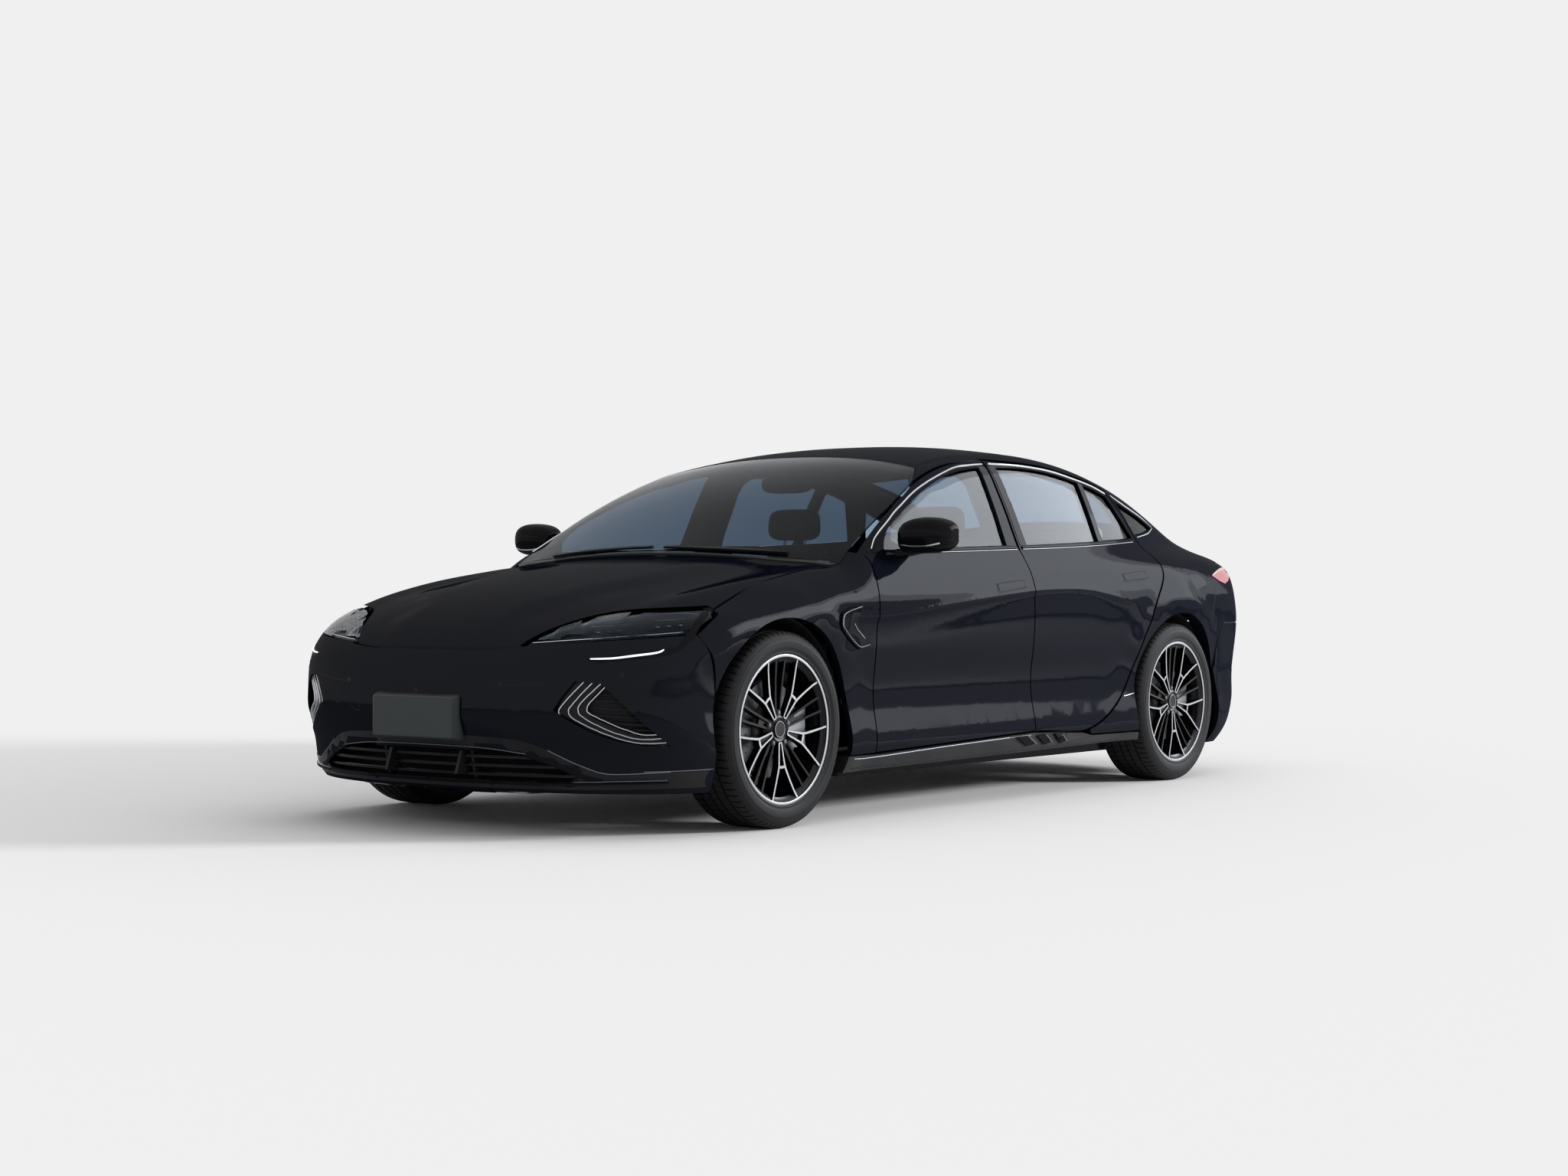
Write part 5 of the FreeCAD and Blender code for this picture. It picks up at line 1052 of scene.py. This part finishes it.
def box(heap, points, pick=0):
    heap.add(points, [(0, 1, 3, 2), (4, 6, 7, 5), (0, 4, 5, 1), (2, 3, 7, 6), (0, 2, 6, 4),
                      (1, 5, 7, 3)], pick)


cushion_side = mm(-326, 360, -344, 408, -322, 452, -150, 452, 30, 438, 190, 444, 208, 400, 196,
    358)
thigh_side = mm(-318, 356, -340, 420, -298, 478, -140, 488, 20, 480, 158, 492, 208, 440, 192, 354)
back_side = mm(164, 448, 178, 640, 232, 850, 276, 1002, 304, 1024, 332, 998, 326, 860, 284, 640,
    256, 448)
wing_side = mm(146, 478, 138, 600, 192, 820, 264, 972, 299, 990, 322, 955, 314, 800, 274, 600, 244,
    458)
head_side = mm(276, 1060, 260, 1110, 278, 1168, 302, 1182, 328, 1164, 338, 1110, 320, 1058)
sewn = Heap()
for x in (0.190, 0.550):
    seam(sewn, [(x, -0.330, 0.470), (x, -0.150, 0.470), (x, 0.030, 0.462), (x, 0.160, 0.470)])
    seam(sewn, [(x, 0.150, 0.500), (x, 0.152, 0.640), (x, 0.206, 0.840), (x, 0.258, 0.986)])
for y, z in ((-0.210, 0.463), (-0.080, 0.460), (0.060, 0.450)):
    seam(sewn, [(0.200, y, z), (0.370, y, z + 0.003), (0.540, y, z)], 0.0012)
for y, z in ((0.166, 0.600), (0.190, 0.720), (0.220, 0.830)):
    seam(sewn, [(0.202, y + 0.002, z), (0.370, y - 0.005, z), (0.538, y + 0.002, z)], 0.0012)
for x in (0.315, 0.425):
    drum(sewn, x, 0.304, ((0.990, 0.006), (1.085, 0.006)), 12, 2)
for x0, x1 in ((0.150, 0.180), (0.560, 0.590)):
    box(sewn, [(x, y, z) for z in (0.277, 0.366) for y in (-0.30, 0.15) for x in (x0, x1)], 3)
for hand, side in SIDES:
    for label, section, low, high, soft, swell in (
            ("cushion", cushion_side, 0.186, 0.554, 0.016, 0.008),
            ("thigh_inner", thigh_side, 0.114, 0.196, 0.016, 0.003),
            ("thigh_outer", thigh_side, 0.544, 0.626, 0.016, 0.003),
            ("back", back_side, 0.190, 0.550, 0.016, 0.007),
            ("wing_inner", wing_side, 0.120, 0.202, 0.016, 0.003),
            ("wing_outer", wing_side, 0.538, 0.620, 0.016, 0.003),
            ("headrest", head_side, 0.238, 0.502, 0.020, 0.004)):
        pad("front_seat_%s_%s" % (label, hand), section, low, high, soft, swell, "front_seats",
            side)
    made = sewn.make("front_seat_sewing_" + hand, [hide, thread, chrome, coarse_black],
                     "car_body", 40, side)

bench_side = mm(618, 438, 600, 500, 628, 541, 780, 547, 900, 528, 1004, 520, 1012, 480, 1004, 436)
bench_back = mm(982, 530, 992, 700, 1046, 944, 1076, 964, 1104, 938, 1102, 740, 1082, 526)
bench_head = mm(1056, 968, 1047, 1030, 1066, 1080, 1086, 1088, 1106, 1074, 1111, 1020, 1100, 964)
for label, section, low, high, swell, centre in (
        ("cushion", bench_side, 0.158, 0.600, 0.007, 0.005),
        ("back", bench_back, 0.158, 0.586, 0.006, 0.004),
        ("headrest", bench_head, 0.246, 0.494, 0.004, None)):
    pad("bench_left_" + label, section, low, high, 0.018, swell, "rear_seat")
    pad("bench_right_" + label, section, -high, -low, 0.018, swell, "rear_seat")
    if centre:
        pad("bench_middle_" + label, section, -0.160, 0.160, 0.018, centre, "rear_seat")
bench_sewing = Heap()
for x in (-0.159, 0.159):
    seam(bench_sewing, [(x, 0.61, 0.53), (x, 0.78, 0.549), (x, 0.9, 0.531), (x, 0.985, 0.526)])
    seam(bench_sewing, [(x, 0.984, 0.560), (x, 0.990, 0.700), (x, 1.042, 0.940)])
for side in (1, -1):
    for z, y in ((0.640, 0.980), (0.760, 1.000), (0.870, 1.025)):
        seam(bench_sewing, [(side * 0.180, y, z), (side * 0.370, y - 0.005, z),
                            (side * 0.560, y, z)], 0.0012)
bench_sewing.make("bench_sewing", [hide, thread], "car_body", 40)

screens = Heap()
for x0, x1, y0, y1, z0, z1 in ((-0.190, 0.190, -0.6965, -0.7005, 0.836, 0.998),
                               (0.268, 0.472, -0.7265, -0.7425, 0.876, 0.966)):
    corners = ((x0, y0, z0), (x1, y0, z0), (x1, y1, z1), (x0, y1, z1))
    screens.add([(x, y - drop, z) for drop in (0.0, 0.003) for x, y, z in corners],
                [(0, 3, 2, 1), (4, 5, 6, 7), (0, 1, 5, 4), (1, 2, 6, 5), (2, 3, 7, 6),
                 (3, 0, 4, 7)])
blank_screen = toned("blank_screen", (0.006, 0.007, 0.009), 0.12, flake, 900.0,
                     (0.004, 0.005, 0.007), (0.010, 0.011, 0.013))
screens.make("cabin_screens", [blank_screen], "car_body", 30)

carpet = finish("floor_carpet", (0.020, 0.020, 0.022), 0.95)
carpet_pile = put(carpet, weave, Scale=260.0)
tint(carpet, carpet_pile["Tone"], (0.014, 0.014, 0.015), (0.026, 0.026, 0.029))
emboss(carpet, carpet_pile["Height"], 0.7, 0.0012)
mats = Heap()
for x0, x1, y0, y1 in mm(100, 620, -970, -330, -620, -100, -970, -330, 60, 620, 270, 960,
                         -620, -60, 270, 960, each=4):
    ring = rounded(x0, x1, y0, y1, 0.05, 6)
    count = len(ring)
    mats.add([(x, y, z) for z in (0.2765, 0.284) for x, y in ring],
             [tuple(range(count, 2 * count)), tuple(reversed(range(count)))] + bands(2, count))
mats.make("floor_mats", [carpet], "car_body", 30)


def pillow(wide, tall, count):
    """A soft-cornered outline round its middle."""
    turns = [TURN * (s + 0.5) / count for s in range(count)]
    return [(wide * math.copysign(abs(math.cos(t)) ** 0.6, math.cos(t)),
             tall * math.copysign(abs(math.sin(t)) ** 0.6, math.sin(t))) for t in turns]


inner_mirror = Heap()
points = [(a, y, 1.268 + b)
          for y, grow in ((-0.268, 0.0), (-0.262, 0.004), (-0.250, 0.004), (-0.238, -0.006))
          for a, b in pillow(0.122 + grow, 0.034 + grow, 24)]
inner_mirror.add(points, bands(4, 24) + [tuple(range(24)), tuple(reversed(range(72, 96)))])
box(inner_mirror, [(a, b, c) for b, c in mm(-262, 1272, -300, 1345, -252, 1292, -272, 1352)
                   for a in (-0.016, 0.016)])
inner_mirror.make("inner_mirror", [satin_black], "car_body", 40)

# Ceramic black border and camera cover printed inside the windscreen.
screen_print = skin("windscreen", DOWN)
patch(screen_print, mm(-640, -275, 0, -235, 640, -275, 625, -330, 0, -300, -625, -330), -0.0075,
    0.0015, 0.03)
patch(screen_print, mm(-130, -292, 130, -292, 70, -410, -70, -410), -0.0075, 0.004, 0.03)
screen_print.make("screen_print", [satin_black], "car_body", 30)


# ---------------------------------------------------------------- mirrors
# Silvered glass in the gloss black folding housings, with a bright seam and a
# parting line over each, fixed to its front door.
silvered = metal("mirror_silver", (0.80, 0.82, 0.84), 0.03, 400.0, 0.000001, 0.02)
glass = skin("mirror_left", AHEAD)
points = [(0.976 + a, y, 1.0405 + b)
          for grow, y in ((0.0, -0.6515), (0.0, -0.6500), (-0.004, -0.6494))
          for a, b in pillow(0.084 + grow, 0.050 + grow, 32)]
glass.add(points, bands(3, 32) + [tuple(range(64, 96))])
strip(glass, mm(900, 1004, 950, 999, 1010, 1000, 1058, 1010), 0.0055, 0.0015, 1, 6)
strip(glass, mm(900, 1050, 960, 1056, 1020, 1055, 1066, 1048), 0.0022, 0.0004, 2, 6)
for hand, side in SIDES:
    made = glass.make("mirror_glass_" + hand, [silvered, silver, black_and_painted_shade],
                      "front_%s_door" % hand, 30, side)


# ---------------------------------------------------------------- tail
# Full-width red lamp band under a clear red cover, lower bumper in grained
# black with a diffuser of upright fins, blank plate recess and reflectors.
band = skin("tail_lamp_bar", BEHIND)
strip(band, mm(-540, 946, -270, 946, 0, 946, 270, 946, 540, 946), 0.01, 0.004, 0, 10)
for k in range(36):
    x = k * 0.030 - 0.525
    strip(band, [(x, 0.928), (x + 0.012, 0.940)], 0.0035, 0.002, 0, 2)
    strip(band, [(x + 0.012, 0.952), (x, 0.965)], 0.0035, 0.002, 0, 2)
glow = toned("tail_lamp_red", (0.42, 0.010, 0.012), 0.25, flake, 500.0, (0.36, 0.008, 0.010),
             (0.50, 0.014, 0.016), Emission_Color=(0.8, 0.02, 0.02, 1), Emission_Strength=0.12)
band.make("tail_lamp_line", [glow], "boot", 35)

# The lamp's outer end wraps round onto the body side and tapers to a point, with
# a pale strip along its top edge: a painted highlight. A dark joint drops from it
# to the arch; near-black sheets close the joint below the deck: painted shade.
TAIL_CORNER = "side_frame_left tail_panel rear_bumper tail_lamps"
horn = skin(TAIL_CORNER, INWARD)
patch(horn, mm(1800, 903, 1885, 926, 1960, 938, 2050, 945, 2050, 905, 1990, 882, 1930, 868, 1868,
    880), 0.0025, 0.003, 0.02, 0)
# A pale strip along the lamp end's top edge: a painted highlight.
strip(horn, mm(1800, 905, 1885, 922, 1960, 932, 2030, 938), 0.008, 0.0012, 1, 6, lift=0.0022,
    narrow=0.4)
strip(horn, mm(1799, 872, 1775, 812, 1751, 755, 1742, 715), 0.0032, 0.0006, 2, 6)
lens_red = toned("tail_lamp_lens", (0.50, 0.06, 0.08), 0.12, weave, 300.0, (0.30, 0.02, 0.03),
                 (0.46, 0.08, 0.10), Coat_Weight=0.6, Coat_Roughness=0.03)
# The strip's pale pink colour is a painted highlight.
lens_highlight = toned("tail_lamp_painted_highlight", (0.72, 0.52, 0.55), 0.2, weave, 400.0,
                  (0.48, 0.30, 0.33), (0.60, 0.42, 0.45), Coat_Weight=0.5)
for hand, side in SIDES:
    made = horn.make("tail_lamp_end_" + hand, [lens_red, lens_highlight, black_and_painted_shade], "car_body", 35,
                     side)


def shade_sheet(heap, line):
    """A near-black sheet in a joint between two fixed panels, from edge to edge: painted shade."""
    points, reach, sink, thick = [], 0.0065, 0.0025, 0.001
    for a, b in line:
        (top, above), (low, below) = settle(heap, a, b + reach), settle(heap, a, b - reach)
        points += [top - above * sink, low - below * sink,
                   low - below * (sink + thick), top - above * (sink + thick)]
    last = 4 * len(line) - 4
    heap.add(points, bands(len(line), 4) + [(3, 2, 1, 0), tuple(last + j for j in range(4))])


JOINT_LEVEL = 0.6905
# Near-black sheets sunk in the joints below the deck: painted shade.
joint = skin("rear_bumper boot_lid tail_panel", BEHIND)
for side in (1, -1):
    shade_sheet(joint, [(side * x, JOINT_LEVEL) for x in (0.560, 0.620, 0.680, 0.740, 0.790, 0.830)])
side_joint = skin(TAIL_CORNER, INWARD)
shade_sheet(side_joint, [(y, JOINT_LEVEL) for y in (1.900, 1.960, 2.020, 2.080, 2.130, 2.180, 2.220)])
joint.make("tail_joint_shade_sheet", [black_and_painted_shade], "car_body", 35)
for hand, side in SIDES:
    side_joint.make("side_joint_shade_sheet_" + hand, [black_and_painted_shade], "car_body", 35, side)

lower = skin("rear_bumper", BEHIND)
diffuser = both_sides(mm(640, 420, 700, 360, 740, 250, 640, 206))
patch(lower, diffuser, 0.0015, 0.002, 0.03, 0)
for x in (-0.450, -0.270, -0.090, 0.090, 0.270, 0.450):
    top, low = (settle(lower, x, z)[0].y for z in (0.300, 0.212))
    points = [(x + s, top - 0.004 + a, z) for s in (-0.005, 0.005)
              for a, z in ((0.006, 0.332), (0.014, 0.300))]
    points += [(x + s, low + a, 0.206) for s in (-0.005, 0.005) for a in (-0.004, 0.030)]
    box(lower, points, 1)
strip(lower, diffuser, 0.008, 0.004, 2, 6, True)
for x in (-0.62, 0.62):
    strip(lower, [(x - 0.09, 0.462), (x, 0.466), (x + 0.09, 0.462)], 0.022, 0.004, 3, 6)
for x, z in ((-0.62, 0.585), (-0.25, 0.60), (0.25, 0.60), (0.62, 0.585)):
    button(lower, x, z, mm(9.5, -1, 9.5, 0.6, 8.2, 1, 0, 0.8), 1)
reflector = toned("rear_reflector", (0.30, 0.008, 0.010), 0.2, weave, 700.0,
                  (0.22, 0.006, 0.008), (0.40, 0.012, 0.014), Coat_Weight=1.0)
lower.make("rear_lower_trim", [coarse_black, satin_black, gloss_black, reflector], "car_body", 35)

plate_recess = skin("boot_lid", BEHIND)
recess = both_sides(mm(280, 870, 300, 850, 290, 730, 270, 715))
strip(plate_recess, recess, 0.008, 0.003, 0, 5, True)
rear_plate = both_sides(mm(220, 850, 226, 844, 226, 746, 220, 740))
patch(plate_recess, rear_plate, 0.0040, 0.0040, 0.03, 1)
strip(plate_recess, mm(-120, 874.5, 0, 875, 120, 874.5), 0.012, 0.006, 0, 6)
plate_recess.make("boot_lid_trim", [satin_black, blank], "boot", 35)


# ---------------------------------------------------------------- underneath
# Coil springs round dampers beside the arms, and the ribbed cover of the
# battery. The wipers, laid on the windscreen's foot, close the list.
COILS, TURNS_STEPS, WIRE = 6.0, 96, 0.007
spring = Heap()
for y in (FRONT_AXLE, REAR_AXLE):
    for side in (1, -1):
        x0, line, points = side * 0.600, [], []
        for k in range(TURNS_STEPS + 1):
            turn = TURN * COILS * k / TURNS_STEPS
            line.append(Vector((x0 + 0.050 * math.cos(turn), y + 0.050 * math.sin(turn),
                                0.230 + 0.240 * k / TURNS_STEPS)))
        for k, spot in enumerate(line):
            along = (line[min(k + 1, TURNS_STEPS)] - line[max(0, k - 1)]).normalized()
            outward = Vector((spot.x - x0, spot.y - y, 0)).normalized()
            third = along.cross(outward)
            points += [spot + outward * WIRE * math.cos(TURN * j / 6)
                       + third * WIRE * math.sin(TURN * j / 6) for j in range(6)]
        spring.add(points, bands(TURNS_STEPS + 1, 6))
        drum(spring, x0, y, ((0.222, 0.02), (0.33, 0.02), (0.33, 0.03), (0.47, 0.03)), 16, 1)
spring.make("springs_and_dampers", [coarse_black, cast_alloy], "car_body", 40)

ribs = Heap()
for k in range(13):
    y = -0.720 + k * 0.120
    ribs.add([(x, y + a, z) for x in (-0.590, 0.590) for a, z in
              ((-0.022, 0.1320), (-0.014, 0.1275), (0.014, 0.1275), (0.022, 0.1320))],
             [(0, 1, 5, 4), (1, 2, 6, 5), (2, 3, 7, 6), (0, 3, 2, 1), (4, 5, 6, 7)])
ribs.make("battery_cover_ribs", [cast_alloy], "car_body", 30)

wipers = skin("windscreen", DOWN)
for reach in (mm(40, -1094, 240, -1086, 420, -1066, 580, -1036),
              mm(-560, -1060, -380, -1078, -200, -1090, -20, -1094)):
    strip(wipers, reach, 0.009, 0.007, 0, 8, lift=0.001, narrow=0.6)
    strip(wipers, [(a, b - 0.009) for a, b in reach], 0.012, 0.008, 1, 8, lift=0.003, narrow=0.4)
wipers.make("wipers", [black_and_painted_shade, satin_black], "car_body", 40)
